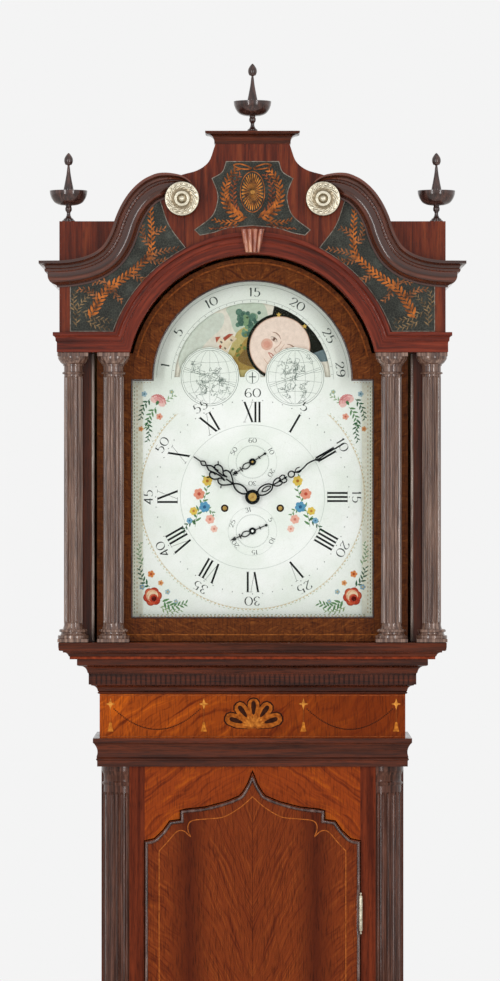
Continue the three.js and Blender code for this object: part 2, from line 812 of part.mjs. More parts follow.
function throatMoulding() {
  const h = throatHeight;
  const top = throatTopProud;
  const band = throatBandProud;
  const foot = throatFootProud;
  const profile = [
    [gap, 0], [foot, 0], [foot, h * 0.06], [foot + (band - foot) * 0.2, h * 0.16],
    [foot + (band - foot) * 0.5, h * 0.22],
    [band, h * 0.26], [band, h * 0.56], [band + (top - band) * 0.2, h * 0.6],
    [band + (top - band) * 0.45, h * 0.72],
    [band + (top - band) * 0.8, h * 0.8], [top, h * 0.84], [top, h - gap], [gap, h - gap],
  ];
  return wrapped(profile, trunkHalfWidth + friezeProud, trunkFace - friezeProud, friezeTop);
}

// The seatboard spans the cheeks and is bored for the lines.
function seatboard() {
  const board = box(-trunkHalfWidth, trunkHalfWidth, -seatFront, seatRear, cheekTop + gap, seatTop);
  const holes = [-1, 1].flatMap((side) => [-lineOffset, lineOffset].map((offset) => turned(
    [
      [0, -seatThickness], [lineHoleRadius, -seatThickness], [lineHoleRadius, seatThickness],
      [0, seatThickness]
    ],
    side * barrelSpan + offset, lineY, seatTop - seatThickness / 2, smallSides,
  )));
  return cut(board, ...holes);
}

add('backboard', backboard(), pine);
add('base_case', baseCase(), flameMahogany);
add('plinth', plinth(), mahogany);
add('base_moulding', baseMoulding(), mahogany);
addPair('trunk_side', trunkSide, mahogany);
add('trunk_front', trunkFrontFrame(), flameMahogany);
addPair('quarter_column', quarterColumn, darkMahogany);
add('trunk_frieze', trunkFrieze(), flameMahogany);
add('trunk_cornice', trunkCornice(), mahogany);
add('throat_moulding', throatMoulding(), mahogany);
add('seatboard', seatboard(), pine);
add('trunk_hinge_upper', trunkHinge(doorShoulder - hingeInset), brass);
add('trunk_hinge_lower', trunkHinge(doorFoot + hingeInset), brass);
add('trunk_door', trunkDoor(), flameMahogany);
add('trunk_lock_bolt', trunkLockBolt(), brass);

// Hood: base, walls, columns, arch and pediment

function pivotHole(z) {
  const reach = pivotPinLength + gap;
  const r = pivotPinRadius + gap;
  return turned(
    [[0, -reach], [r, -reach], [r, reach], [0, reach]], innerColumnSpan, columnY, z, smallSides
  );
}

function hoodBase() {
  const h = hoodBaseHeight;
  const top = hoodBaseTopProud;
  const foot = hoodBaseFootProud;
  const inner = -boardThickness - gap;
  const profile = [
    [inner, gap], [foot, gap], [foot, h * 0.16], [foot + (top - foot) * 0.3, h * 0.3],
    [foot + (top - foot) * 0.6, h * 0.4],
    [foot + (top - foot) * 0.6, h * 0.5], [top, h * 0.58], [top, h * 0.9], [top - gap * 4, h], [inner, h],
  ];
  const face = hoodFace + hoodBaseSetback;
  const frame = wrapped(profile, hoodBaseHalfWidth, face, throatTop);
  const sillHalf = hoodBaseHalfWidth - boardThickness;
  const sill = box(
    -sillHalf, sillHalf, face, hoodDoorFace + hoodDoorThickness, throatTop + gap, hoodBaseTop
  );
  return cut(join(frame, sill), pivotHole(hoodBaseTop));
}

// A hood side: its wall, and the upright strip that closes the corner beside the door.
function hoodSide(side) {
  const inner = hoodWallHalfWidth - boardThickness;
  const strip = hoodDoorHalfWidth + stileGap;
  const rear = hoodDoorFace + hoodDoorThickness;
  const plan = [
    [strip, hoodDoorFace], [hoodWallHalfWidth, hoodDoorFace], [hoodWallHalfWidth, back], [inner, back],
    [inner, rear], [strip, rear],
  ];
  const shape = outlineShape(plan.map(([x, y]) => [side * x, y]));
  return upright(shape, hoodBaseTop + gap, columnTop - gap);
}

function column(span, shaftRadius, capRadius, side) {
  const x = side * span;
  const foot = hoodBaseTop + gap;
  const top = columnTop - gap;
  const shaftFoot = foot + abacusHeight + columnFootHeight;
  const shaftTop = top - abacusHeight - columnCapHeight;
  const shaft = new THREE.Shape(
    flutedArc(shaftRadius, fluteDepth, 0, 2 * Math.PI, fluteCount).map(
      ([a, b]) => new THREE.Vector2(x + a, columnY + b)
    ),
  );
  const block = (z0, z1) => box(
    x - capRadius, x + capRadius, columnY - capRadius, columnY + capRadius, z0, z1
  );
  const sink = abacusHeight / 2;
  const cap = columnCapShares.map(([r, h]) => [r * capRadius, h * columnCapHeight]).reverse();
  const base = columnFootShares.map(([r, h]) => [r * capRadius, h * columnFootHeight]).reverse();
  const head = turned([[0, 0], ...cap, [0, columnCapHeight]], x, columnY, shaftTop, smallSides * 2);
  const step = turned(
    [[0, 0], ...base, [0, columnFootHeight]], x, columnY, foot + abacusHeight, smallSides * 2
  );
  return join(
    upright(shaft, shaftFoot - sink, shaftTop + sink), head, step, block(foot, foot + abacusHeight),
    block(top - abacusHeight, top),
  );
}

// The right inner column carries the pins on which it turns with the door.
function pivotColumn(side) {
  const plain = column(innerColumnSpan, innerShaftRadius, innerCapRadius, side);
  if (side < 0) return plain;
  const r = pivotPinRadius;
  const pin = (z) => turned(
    [[0, -pivotPinLength], [r, -pivotPinLength], [r, pivotPinLength], [0, pivotPinLength]],
    innerColumnSpan, columnY, z, smallSides,
  );
  return join(plain, pin(hoodBaseTop), pin(columnTop));
}

// Entablatures and arch in one sweep: the moulding runs level, then mitres into the arch.
function archCornice() {
  const h = entablatureHeight;
  const top = entablatureTopProud;
  const foot = entablatureFootProud;
  const profile = [
    [-entablatureDepth, 0], [foot, 0], [foot, h * 0.16], [foot + (top - foot) * 0.3, h * 0.3],
    [foot + (top - foot) * 0.3, h * 0.62], [foot + (top - foot) * 0.7, h * 0.74], [top, h * 0.82], [top, h],
    [-entablatureDepth, h],
  ];
  const springing = (d) => Math.asin((columnTop + d - archZ) / (archRadius + d));
  const level = (side, y) => profile.map(([d, v]) => [side * (hoodHalfWidth + d), y(d), columnTop + v]);
  const arch = Array.from({ length: archSteps + 1 }, (_, i) => profile.map(([d, v]) => {
    const start = springing(v);
    const angle = Math.PI - start - ((Math.PI - 2 * start) * i) / archSteps;
    const r = archRadius + v;
    return [r * Math.cos(angle), hoodFace - d, archZ + r * Math.sin(angle)];
  }));
  const rings = [
    level(-1, () => back), level(-1, (d) => hoodFace - d), ...arch, level(1, (d) => hoodFace - d),
    level(1, () => back),
  ];
  const headerX = archRadius + runGap;
  const headerFront = hoodFace + entablatureDepth - overrun;
  const header = (side) => {
    const ends = [side * headerX, side * (hoodWallHalfWidth - boardThickness)].sort((a, b) => a - b);
    return box(ends[0], ends[1], headerFront, hoodDoorFace + hoodDoorThickness, columnTop, entablatureTop);
  };
  const keyTop = archZ + archRadius + h + keystoneRise;
  const keyFoot = keyTop - keystoneHeight;
  const half = [[keystoneFootWidth / 2, keyFoot], [keystoneTopWidth / 2, keyTop]];
  const keystone = slab(
    outlineShape([...half, ...mirrored(half).reverse()]), hoodFace - keystoneProud, hoodFace - gap
  );
  return cut(join(loft(rings, profile), header(-1), header(1), keystone), pivotHole(columnTop));
}

// The pediment board with its corner blocks and the block behind its neck.
function pediment() {
  const notch = archRadius + entablatureHeight + gap;
  const foot = entablatureTop + gap;
  const start = Math.asin((foot - archZ) / notch);
  const neckTop = blockTop + neckHeight - capHeight - gap;
  const crown = pedimentTopShares.map(([u, v]) => [u * hoodHalfWidth, blockTop + v * neckHeight]);
  const right = [
    [hoodHalfWidth, foot], [hoodHalfWidth, blockTop], ...crown.slice(0, -1), [neckHalfWidth, neckTop],
  ];
  const arch = arcPoints(0, archZ, notch, Math.PI - start, start, archSteps);
  const board = slab(
    outlineShape([...right, ...mirrored(right).reverse(), ...arch]), hoodFace, hoodFace + panelThickness
  );
  const block = (side) => {
    const ends = [side * hoodHalfWidth, side * (hoodHalfWidth - blockWidth)].sort((a, b) => a - b);
    return box(ends[0], ends[1], hoodFace, hoodFace + blockWidth, foot, blockTop);
  };
  const behind = hoodFace + panelThickness;
  const neck = box(
    -neckHalfWidth, neckHalfWidth, behind - overrun, behind + neckBlockDepth, blockTop, neckTop
  );
  return join(board, block(-1), block(1), neck);
}

function hoodRoof() {
  const edge = hoodHalfWidth - gap;
  const inner = edge - boardThickness;
  const top = blockTop - roofDrop;
  const under = top - roofThickness;
  const foot = entablatureTop + gap;
  const half = [[edge, foot], [edge, top]];
  const inside = [[inner, foot], [inner, under]];
  const section = outlineShape(
    [...half, ...mirrored(half).reverse(), ...mirrored(inside), ...[...inside].reverse()]
  );
  const front = hoodFace + blockWidth + gap;
  const tongueHalf = hoodHalfWidth - blockWidth - gap;
  const tongue = box(-tongueHalf, tongueHalf, hoodFace + panelThickness + gap, front + overrun, under, top);
  return join(slab(section, front, back), tongue);
}

// A swan neck: a side return, a mitre at the corner, then a climb that ends behind the rosette's boss.
function swanNeck(side) {
  const half = corniceHeight / 2;
  const profile = corniceShares.map(([u, v]) => [u * corniceProud, v * half]);
  const middle = entablatureTop + neckFoot;
  const span = hoodHalfWidth - crestX;
  const path = new THREE.CatmullRomCurve3(neckPathShares.map(([u, v]) => (
    new THREE.Vector3(-hoodHalfWidth + u * span, 0, middle + v * neckRise)
  )));
  const face = hoodFace - gap;
  const wall = hoodHalfWidth + gap;
  const level = (y) => profile.map(([d, v]) => [-(wall + d), y(d), middle + v]);
  const climb = Array.from({ length: neckSteps }, (_, i) => {
    const t = (i + 1) / neckSteps;
    const place = path.getPoint(t);
    const along = path.getTangent(t);
    const scale = t > 0.9 ? 1 - (t - 0.9) * 6 : 1;
    return profile.map(
      ([d, v]) => [place.x - along.z * v * scale, face - d * scale, place.z + along.x * v * scale]
    );
  });
  const rings = [level(() => back), level((d) => face - d), ...climb];
  const moulding = loft(rings.map((ring) => ring.map(([x, y, z]) => [-side * x, y, z])), profile);
  const bossFront = hoodFace - corniceProud + rosetteThickness;
  const boss = rod(
    bossRadius, side * rosetteSpan, entablatureTop + rosetteRise, bossFront, face, roundSides
  );
  return join(moulding, boss);
}

function rosette(side) {
  const seat = hoodFace - corniceProud + rosetteThickness - gap;
  const reach = rosetteThickness - gap;
  const profile = rosetteShares.map(([r, h]) => [r * rosetteRadius, seat - h * reach]);
  return spindle(profile, side * rosetteSpan, entablatureTop + rosetteRise, roundSides);
}

// The cap of the centre plinth: a small cornice mitred round all four sides.
function centreCap() {
  const foot = capTop - capHeight;
  const levels = [[0.1, 0], [0.13, 0.28], [0.3, 0.55], [0.6, 0.74], [0.84, 0.8], [1, 0.86], [1, 1]];
  const rear = hoodFace + panelThickness + neckBlockDepth;
  const ring = (d) => {
    const x = neckHalfWidth + d;
    return [[-x, hoodFace - d], [x, hoodFace - d], [x, rear + d], [-x, rear + d]];
  };
  const rings = levels.map(([u, v]) => ring(u * capProud).map(([x, y]) => [x, y, foot + v * capHeight]));
  return loft(rings, ring(0));
}

function finial(x, y, foot) {
  const profile = finialShares.map(([r, h]) => [r * finialRadius, h * finialHeight]);
  return turned(profile, x, y, foot + gap);
}

add('hood_base', hoodBase(), mahogany);
addPair('hood_side', hoodSide, mahogany);
addPair(
  'column_outer', (side) => column(outerColumnSpan, outerShaftRadius, outerCapRadius, side),
  darkMahogany
);
addPair('column_inner', pivotColumn, darkMahogany);
add('arch_cornice', archCornice(), mahogany);
add('pediment', pediment(), mahogany);
add('hood_roof', hoodRoof(), mahogany);
addPair('swan_neck', swanNeck, mahogany);
addPair('rosette', rosette, paleBrass);
add('centre_cap', centreCap(), mahogany);
const capMiddle = hoodFace + (panelThickness + neckBlockDepth) / 2;
add('finial_centre', finial(0, capMiddle, capTop - gap), darkMahogany);
addPair(
  'finial', (side) => finial(side * (hoodHalfWidth - finialInset), hoodFace + finialInset, blockTop),
  darkMahogany
);

// Hood door and dial

// A break-arch outline: a rectangle with shoulders and an arch on top.
function breakArch(halfWidth, foot, shoulder, radius, steps) {
  const start = Math.asin((shoulder - archZ) / radius);
  return [
    [-halfWidth, foot], [halfWidth, foot], [halfWidth, shoulder],
    ...arcPoints(0, archZ, radius, start, Math.PI - start, steps), [-halfWidth, shoulder],
  ];
}

const dialShoulder = archZ + sightMargin;
const dialFoot = handsZ - dialFootDrop;

function sightOutline(lap) {
  return breakArch(
    dialHalfWidth - sightMargin + lap, dialFoot + sightMargin - lap, dialShoulder - sightMargin + lap,
    dialArchRadius - sightMargin + lap, archSteps,
  );
}

function hoodDoor() {
  const foot = hoodBaseTop + runGap;
  const outline = breakArch(hoodDoorHalfWidth, foot, columnTop - runGap, hoodDoorArchRadius, archSteps);
  const frame = slab(outlineShape(outline), hoodDoorFace, hoodDoorFace + hoodDoorThickness);
  const sight = slab(
    outlineShape(sightOutline(0)), hoodDoorFace - overrun, hoodDoorFace + hoodDoorThickness
  );
  const rebateFront = hoodDoorFace + glassDepth - gap;
  const rebate = slab(
    outlineShape(sightOutline(glassLap + gap)), rebateFront, rebateFront + hoodDoorThickness
  );
  return cut(frame, sight, rebate);
}

function hoodGlass() {
  const front = hoodDoorFace + glassDepth;
  return slab(outlineShape(sightOutline(glassLap)), front, front + glassThickness);
}

// The opening that shows the moon: an arch whose foot rises over three humps.
function moonOpening() {
  const level = archZ + humpLift;
  const start = Math.asin(humpLift / moonOpeningRadius);
  const hump = (x, r) => arcPoints(x, level, r, Math.PI, 0, curveSteps * 2);
  const outer = arcPoints(0, archZ, moonOpeningRadius, start, Math.PI - start, archSteps);
  return outlineShape([
    ...outer, ...hump(-humpSpan, humpRadius), ...hump(0, middleHumpRadius), ...hump(humpSpan, humpRadius),
  ]);
}

function dialPlate() {
  const outline = outlineShape(breakArch(dialHalfWidth, dialFoot, dialShoulder, dialArchRadius, archSteps));
  outline.holes.push(moonOpening(), circlePath(0, handsZ, arborHoleRadius));
  outline.holes.push(circlePath(0, secondsZ, smallHoleRadius));
  for (const side of [-1, 1]) outline.holes.push(circlePath(side * barrelSpan, barrelZ, windingHoleRadius));
  const plate = slab(outline, dialFace, dialBack, curveSteps);
  const feet = [-1, 1].flatMap((side) => [dialFootHigh, -dialFootLow].map((rise) => (
    rod(
      dialFootRadius, side * dialFootSpan, handsZ + rise, dialFace + dialThickness / 2,
      frontPlateFace - gap
    )
  )));
  const studRear = dialBack + moonDiscSetback * 3;
  const stud = rod(studRadius, 0, archZ, dialFace + dialThickness / 2, studRear);
  const dateStud = rod(
    smallHoleRadius - 2 * gap, 0, dateZ, dialFace - smallHandSetback - handThickness * 2, dialBack
  );
  return join(plate, ...feet, stud, dateStud);
}

function moonDisc() {
  const front = dialBack + moonDiscSetback;
  const rear = front + moonDiscThickness;
  const bore = studRadius + gap;
  const hub = rear + moonDiscSetback;
  const profile = [
    [bore, front], [moonDiscRadius, front], [moonDiscRadius, rear], [moonHubRadius, rear],
    [moonHubRadius, hub],
    [bore, hub], [bore, front],
  ];
  return spindle(profile, 0, archZ, roundSides * 2);
}

// A hand: its outline from shares of length and half width, on a round boss with a bore.
function handOutline(shares, length, tail, halfWidth) {
  const points = shares.map(([u, v]) => [v * halfWidth, u < 0 ? u * tail : u * length]);
  const inner = points.slice(1, -1);
  return [...points, ...mirrored(inner).reverse()];
}

function handBlade(shares, length, tail, width, z, front, clockAngle) {
  const outline = handOutline(shares, length, tail, width / 2).map(([x, v]) => [x, z + v]);
  return turnGeometry(slab(outlineShape(outline), front, front + handThickness), 0, z, clockAngle);
}

function ringBoss(radius, bore, front, rear, z, sides = roundSides) {
  return spindle(
    [[bore, front], [radius, front], [radius, rear], [bore, rear], [bore, front]], 0, z, sides
  );
}

function bored(piece, radius, z) {
  return cut(piece, rod(radius, 0, z, dialFace - hoodDoorSetback, insideBackPlate));
}

function hourHand() {
  const front = dialFace - hourHandSetback - handThickness;
  const blade = handBlade(
    hourHandShares, hourHandLength, hourHandLength, hourHandWidth, handsZ, front, hourClock
  );
  const boss = rod(hourBossRadius, 0, handsZ, front, front + handThickness, roundSides);
  const pipe = rod(hourPipeRadius, 0, handsZ, front, frontPlateFace - moonDiscSetback);
  return bored(join(blade, boss, pipe), hourPipeRadius - pipeWall, handsZ);
}

function minuteHand() {
  const front = dialFace - minuteHandSetback - handThickness;
  const blade = handBlade(
    minuteHandShares, minuteHandLength, minuteHandLength, minuteHandWidth, handsZ, front, minuteClock,
  );
  const boss = rod(minuteBossRadius, 0, handsZ, front, front + handThickness, roundSides);
  const cannon = rod(cannonRadius, 0, handsZ, front, frontPlateFace - moonDiscSetback);
  return bored(join(blade, boss, cannon), cannonRadius - pipeWall, handsZ);
}

function smallHand(z, clockAngle, pipeRear, bore) {
  const rear = dialFace - smallHandSetback;
  const front = rear - handThickness;
  const blade = handBlade(
    smallHandShares, smallHandLength, smallHandTail, smallHandWidth, z, front, clockAngle
  );
  const boss = ringBoss(smallBossRadius, bore, front - handThickness / 2, pipeRear, z, smallSides * 2);
  return cut(join(blade, boss), rod(bore, 0, z, front - overrun, rear + overrun));
}

add('hood_door', hoodDoor(), flameMahogany);
add('hood_glass', hoodGlass(), glass);
add('dial_plate', dialPlate(), paintedIron);
add('moon_disc', moonDisc(), paintedIron);
add('hour_hand', hourHand(), bluedSteel);
add('minute_hand', minuteHand(), bluedSteel);
const secondsBore = pivotRadius + gap;
add('seconds_hand', smallHand(secondsZ, secondsClock, dialFace - gap, secondsBore), bluedSteel);
add('date_hand', smallHand(dateZ, dateClock, dialFace - gap, smallHoleRadius - gap), bluedSteel);

// Movement: plates, wheels, barrels and escapement

const centreDistance = Math.hypot(barrelSpan, barrelDrop);
const greatModule = (2 * centreDistance) / (greatTeeth + pinionLeaves);
const centreToThird = (centreModule * (centreTeeth + pinionLeaves)) / 2;
const thirdToEscape = (thirdModule * (thirdTeeth + pinionLeaves)) / 2;
const thirdRise = (centreToThird ** 2 - thirdToEscape ** 2 + smallArborRise ** 2) / (2 * smallArborRise);
const thirdX = Math.sqrt(Math.max(centreToThird ** 2 - thirdRise ** 2, 0));
const thirdZ = handsZ + thirdRise;

// Teeth as shares of the pitch: half widths at root and tip, and height and depth in modules.
const wheelToothShares = { root: 0.3, tip: 0.09, height: 0.75, depth: 1.1 };
const leafShares = { root: 0.15, tip: 0.1, height: 0.7, depth: 0.95 };

function toothOutline(x, z, teeth, module, shares, phase) {
  const pitch = (2 * Math.PI) / teeth;
  const radius = (teeth * module) / 2;
  const root = radius - shares.depth * module;
  const tip = radius + shares.height * module;
  const steps = [[root, -shares.root], [tip, -shares.tip], [tip, shares.tip], [root, shares.root]];
  return Array.from({ length: teeth }, (_, i) => steps.map(([r, share]) => {
    const angle = phase + pitch * (i + share);
    return [x + r * Math.cos(angle), z + r * Math.sin(angle)];
  })).flat();
}

// Four openings between the spokes of a wheel, drawn about its own arbor.
function crossings(shape, x, z, hub, rim) {
  const spokeShare = 0.12;
  for (let i = 0; i < 4; i += 1) {
    const from = (Math.PI / 2) * (i + spokeShare);
    const to = (Math.PI / 2) * (i + 1 - spokeShare);
    const ring = [
      ...arcPoints(x, z, rim, from, to, curveSteps), ...arcPoints(x, z, hub, to, from, curveSteps / 2)
    ];
    shape.holes.push(outlineShape(ring));
  }
}

function wheel(x, z, teeth, module, front, phase) {
  const shape = outlineShape(toothOutline(x, z, teeth, module, wheelToothShares, phase));
  const radius = (teeth * module) / 2;
  crossings(shape, x, z, arborRadius * 2, radius - wheelThickness * 2);
  return slab(shape, front, front + wheelThickness);
}

function pinion(x, z, module, front, rear, phase) {
  return slab(outlineShape(toothOutline(x, z, pinionLeaves, module, leafShares, phase)), front, rear);
}

const towards = (x0, z0, x1, z1) => Math.atan2(z1 - z0, x1 - x0);
const leafPhase = (angle) => angle + Math.PI + Math.PI / pinionLeaves;
const setback = (distance) => insideFrontPlate + distance;
const pinionFront = (distance) => setback(distance) - (pinionLength - wheelThickness) / 2;

function goingGreatWheel() {
  const phase = towards(barrelSpan, barrelZ, 0, handsZ);
  const plain = wheel(barrelSpan, barrelZ, greatTeeth, greatModule, setback(greatWheelSetback), phase);
  return cut(plain, rod(arborRadius + gap, barrelSpan, barrelZ, frontPlateFace, insideBackPlate));
}

function barrel(side) {
  const x = side * barrelSpan;
  const drum = setback(drumSetback);
  const end = drum + drumLength;
  const plateBore = [insideFrontPlate, insideBackPlate];
  const profile = [
    [0, dialFace - gap], [arborRadius, dialFace - gap], [arborRadius, drum - flangeThickness],
    [flangeRadius, drum - flangeThickness], [flangeRadius, drum], [drumRadius, drum], [drumRadius, end],
    [flangeRadius, end], [flangeRadius, end + flangeThickness], [arborRadius, end + flangeThickness],
    [arborRadius, plateBore[1] - gap], [pivotRadius, plateBore[1] - gap], [pivotRadius, backPlateRear],
    [0, backPlateRear],
  ];
  const half = squareWidth / 2;
  const square = box(
    x - half, x + half, dialFace - handThickness, dialFace + overrun, barrelZ - half, barrelZ + half
  );
  const whole = join(spindle(profile, x, barrelZ, roundSides), square);
  if (side > 0) return whole;
  const shape = outlineShape(
    toothOutline(x, barrelZ, strikeTeeth, (2 * strikeWheelRadius) / strikeTeeth, wheelToothShares, 0),
  );
  return join(whole, slab(shape, setback(greatWheelSetback), setback(greatWheelSetback) + wheelThickness));
}

function centreWheel() {
  const fromGreat = towards(barrelSpan, barrelZ, 0, handsZ);
  const phase = towards(0, handsZ, thirdX, thirdZ);
  const core = cannonRadius - pipeWall - gap;
  const collarFront = dialFace - minuteHandSetback - handThickness - gap;
  const profile = [
    [0, collarFront - overrun], [core / 2, collarFront - overrun], [core, collarFront - handThickness],
    [collarRadius, collarFront - handThickness], [collarRadius, collarFront], [core, collarFront],
    [core, insideFrontPlate + gap], [core, insideBackPlate - gap], [pivotRadius, insideBackPlate - gap],
    [pivotRadius, backPlateRear], [0, backPlateRear],
  ];
  return join(
    spindle(profile, 0, handsZ, smallSides * 2),
    wheel(0, handsZ, centreTeeth, centreModule, setback(centreWheelSetback), phase),
    pinion(
      0, handsZ, greatModule, pinionFront(greatWheelSetback),
      pinionFront(greatWheelSetback) + pinionLength, leafPhase(fromGreat)
    ),
  );
}

function arbor(x, z, front, rear) {
  return rod(pivotRadius, x, z, front, rear);
}

function thirdWheel() {
  const fromCentre = towards(0, handsZ, thirdX, thirdZ);
  const phase = towards(thirdX, thirdZ, 0, secondsZ);
  return join(
    arbor(thirdX, thirdZ, frontPlateFace, backPlateRear),
    wheel(thirdX, thirdZ, thirdTeeth, thirdModule, setback(thirdWheelSetback), phase),
    pinion(
      thirdX, thirdZ, centreModule, pinionFront(centreWheelSetback),
      pinionFront(centreWheelSetback) + pinionLength,
      leafPhase(fromCentre),
    ),
  );
}

function escapeWheel() {
  const fromThird = towards(thirdX, thirdZ, 0, secondsZ);
  const pitch = (2 * Math.PI) / escapeTeeth;
  const outline = Array.from({ length: escapeTeeth }, (_, i) => [
    ...arcPoints(0, secondsZ, escapeRadius - escapeToothDepth, pitch * i, pitch * (i + 0.6), 1),
    ...arcPoints(0, secondsZ, escapeRadius, pitch * (i + 0.7), pitch * (i + 0.76), 1),
  ]).flat();
  const shape = outlineShape(outline);
  crossings(shape, 0, secondsZ, arborRadius * 2, escapeRadius - escapeToothDepth - wheelThickness);
  const front = dialFace - smallHandSetback - handThickness * 2;
  return join(
    arbor(0, secondsZ, front, backPlateRear),
    slab(shape, setback(escapeWheelSetback), setback(escapeWheelSetback) + wheelThickness),
    pinion(
      0, secondsZ, thirdModule, pinionFront(thirdWheelSetback),
      pinionFront(thirdWheelSetback) + pinionLength,
      leafPhase(fromThird),
    ),
  );
}

// Anchor pallets between the plates, with the crutch behind them that leads the pendulum.
function pallets() {
  const reach = palletReach;
  const nib = secondsZ + Math.sqrt((escapeRadius + palletClearance) ** 2 - reach ** 2);
  const w = palletHubRadius / 2;
  const half = [
    [0, palletZ + palletHubRadius], [w, palletZ + palletHubRadius], [reach + w, nib + palletHubRadius],
    [reach + w, nib],
    [reach - w, nib + palletClearance], [w, palletZ - palletHubRadius],
  ];
  const anchor = outlineShape([...half.slice(1), ...mirrored(half.slice(1)).reverse()]);
  const plane = setback(escapeWheelSetback);
  const crutchFront = backPlateRear + cockThickness / 2;
  const crutchFoot = palletZ - crutchLength;
  const inner = rodRadius + gap;
  const half2 = crutchWidth / 2;
  const prong = (side) => {
    const ends = [side * inner, side * (inner + forkWidth)].sort((a, b) => a - b);
    return box(
      ends[0], ends[1], crutchFront, pendulumY + rodRadius + forkWidth, crutchFoot,
      crutchFoot + crutchWidth
    );
  };
  return join(
    arbor(0, palletZ, frontPlateFace, crutchFront + crutchThickness),
    slab(anchor, plane - wheelThickness / 2, plane + wheelThickness * 1.5),
    box(-half2, half2, crutchFront, crutchFront + crutchThickness, crutchFoot, palletZ + half2),
    box(
      -inner - forkWidth, inner + forkWidth, crutchFront, crutchFront + crutchThickness, crutchFoot,
      crutchFoot + crutchWidth
    ),
    prong(-1), prong(1),
  );
}

function pendulum() {
  const bobZ = palletZ - pendulumLength;
  const top = palletZ + springHead;
  const springFoot = top - springHeight;
  const nutFoot = bobZ - bobRadius - gap - ratingNutHeight * 2;
  const halfBob = bobThickness / 2;
  const edge = bobThickness / 8;
  const lens = spindle([
    [0, pendulumY - halfBob], [bobRadius * 0.55, pendulumY - halfBob * 0.86],
    [bobRadius * 0.88, pendulumY - halfBob * 0.5],
    [bobRadius, pendulumY - edge], [bobRadius, pendulumY + edge],
    [bobRadius * 0.88, pendulumY + halfBob * 0.5],
    [bobRadius * 0.55, pendulumY + halfBob * 0.86], [0, pendulumY + halfBob],
  ], 0, bobZ, roundSides);
  const halfSpring = springWidth / 2;
  const strip = box(
    -springThickness / 2, springThickness / 2, pendulumY - halfSpring, pendulumY + halfSpring,
    springFoot, top
  );
  const r = rodRadius;
  const stem = turned(
    [[0, nutFoot], [r, nutFoot], [r, springFoot + springHead], [0, springFoot + springHead]], 0,
    pendulumY, 0, smallSides
  );
  const n = ratingNutRadius;
  const nutTop = nutFoot + ratingNutHeight;
  const nut = turned([[0, nutFoot], [n, nutFoot], [n, nutTop], [0, nutTop]], 0, pendulumY, 0, smallSides);
  return join(lens, strip, stem, nut);
}

const bellY = frontPlateFace + bellSetback;
const bellRim = plateTop + bellRise;
const hammerZ = handsZ + hammerArborRise;

// Plates and pillars in one, with the cock that hangs the pendulum and the stand that holds the bell.
function movementPlates() {
  const plate = (front, holes) => {
    const edge = plateHalfWidth;
    const shape = outlineShape(
      [[-edge, plateFoot], [edge, plateFoot], [edge, plateTop], [-edge, plateTop]]
    );
    shape.holes.push(...holes.map(([x, z, r]) => circlePath(x, z, r + gap)));
    return slab(shape, front, front + plateThickness, curveSteps);
  };
  const pivots = [[thirdX, thirdZ], [0, secondsZ], [0, palletZ], [-hammerSpan, hammerZ]].map(
    ([x, z]) => [x, z, pivotRadius]
  );
  const barrels = [-1, 1].map((side) => [side * barrelSpan, barrelZ]);
  const frontHoles = [
    ...pivots, ...barrels.map(([x, z]) => [x, z, arborRadius]), [0, handsZ, cannonRadius]
  ];
  const backHoles = [...pivots, ...barrels.map(([x, z]) => [x, z, pivotRadius]), [0, handsZ, pivotRadius]];
  const pillars = [-1, 1].flatMap((side) => [plateFoot + pillarInset, plateTop - pillarInset].map((z) => (
    rod(
      pillarRadius, side * pillarSpan, z, frontPlateFace + plateThickness / 2,
      insideBackPlate + plateThickness / 2
    )
  )));
  const cockFoot = palletZ + springHead + gap;
  const cockRear = pendulumY + springWidth;
  const sinkIn = plateThickness / 2;
  const cock = box(
    -cockWidth / 2, cockWidth / 2, backPlateRear - sinkIn, cockRear, cockFoot, cockFoot + cockThickness
  );
  const postHalf = bellPostWidth / 2;
  const armFoot = bellRim + bellHeight + gap;
  const post = box(
    -postHalf, postHalf, insideBackPlate, backPlateRear, plateTop - overrun, armFoot + bellPostWidth
  );
  const arm = box(-postHalf, postHalf, bellY - postHalf, backPlateRear, armFoot, armFoot + bellPostWidth);
  return join(
    plate(frontPlateFace, frontHoles), plate(insideBackPlate, backHoles), ...pillars, cock, post, arm
  );
}

function bell() {
  const w = bellWall;
  const r = bellRadius;
  const h = bellHeight;
  const dome = [[1, 0], [0.97, 0.3], [0.88, 0.6], [0.66, 0.86], [0.36, 0.97]];
  const outer = dome.map(([a, b]) => [a * r, b * h]);
  const inner = dome.map(([a, b]) => [a * (r - w), b * (h - w)]).reverse();
  return turned([[0, h], ...outer.reverse(), ...inner.reverse(), [0, h - w]], 0, bellY, bellRim);
}

function hammer() {
  const headX = -(bellRadius + hammerGap + hammerHeadRadius);
  const headZ = bellRim + hammerHeadRadius / 2;
  const w = hammerThickness / 2;
  const shank = outlineShape(
    [[-hammerSpan - w, hammerZ], [-hammerSpan + w, hammerZ], [headX + w, headZ], [headX - w, headZ]]
  );
  const half = hammerHeadLength / 2;
  return join(
    arbor(-hammerSpan, hammerZ, frontPlateFace, backPlateRear),
    slab(shank, bellY - w, bellY + w),
    rod(hammerThickness, -hammerSpan, hammerZ, bellY - hammerThickness, bellY + hammerThickness),
    rod(hammerHeadRadius, headX, headZ, bellY - half, bellY + half),
  );
}

add('movement_plates', movementPlates(), brass);
add('going_great_wheel', goingGreatWheel(), brass);
add('going_barrel', barrel(1), brass);
add('strike_barrel', barrel(-1), brass);
add('centre_wheel', centreWheel(), brass);
add('third_wheel', thirdWheel(), brass);
add('escape_wheel', escapeWheel(), brass);
add('pallets', pallets(), steel);
add('pendulum', pendulum(), brass);
add('bell', bell(), paleBrass);
add('hammer', hammer(), steel);

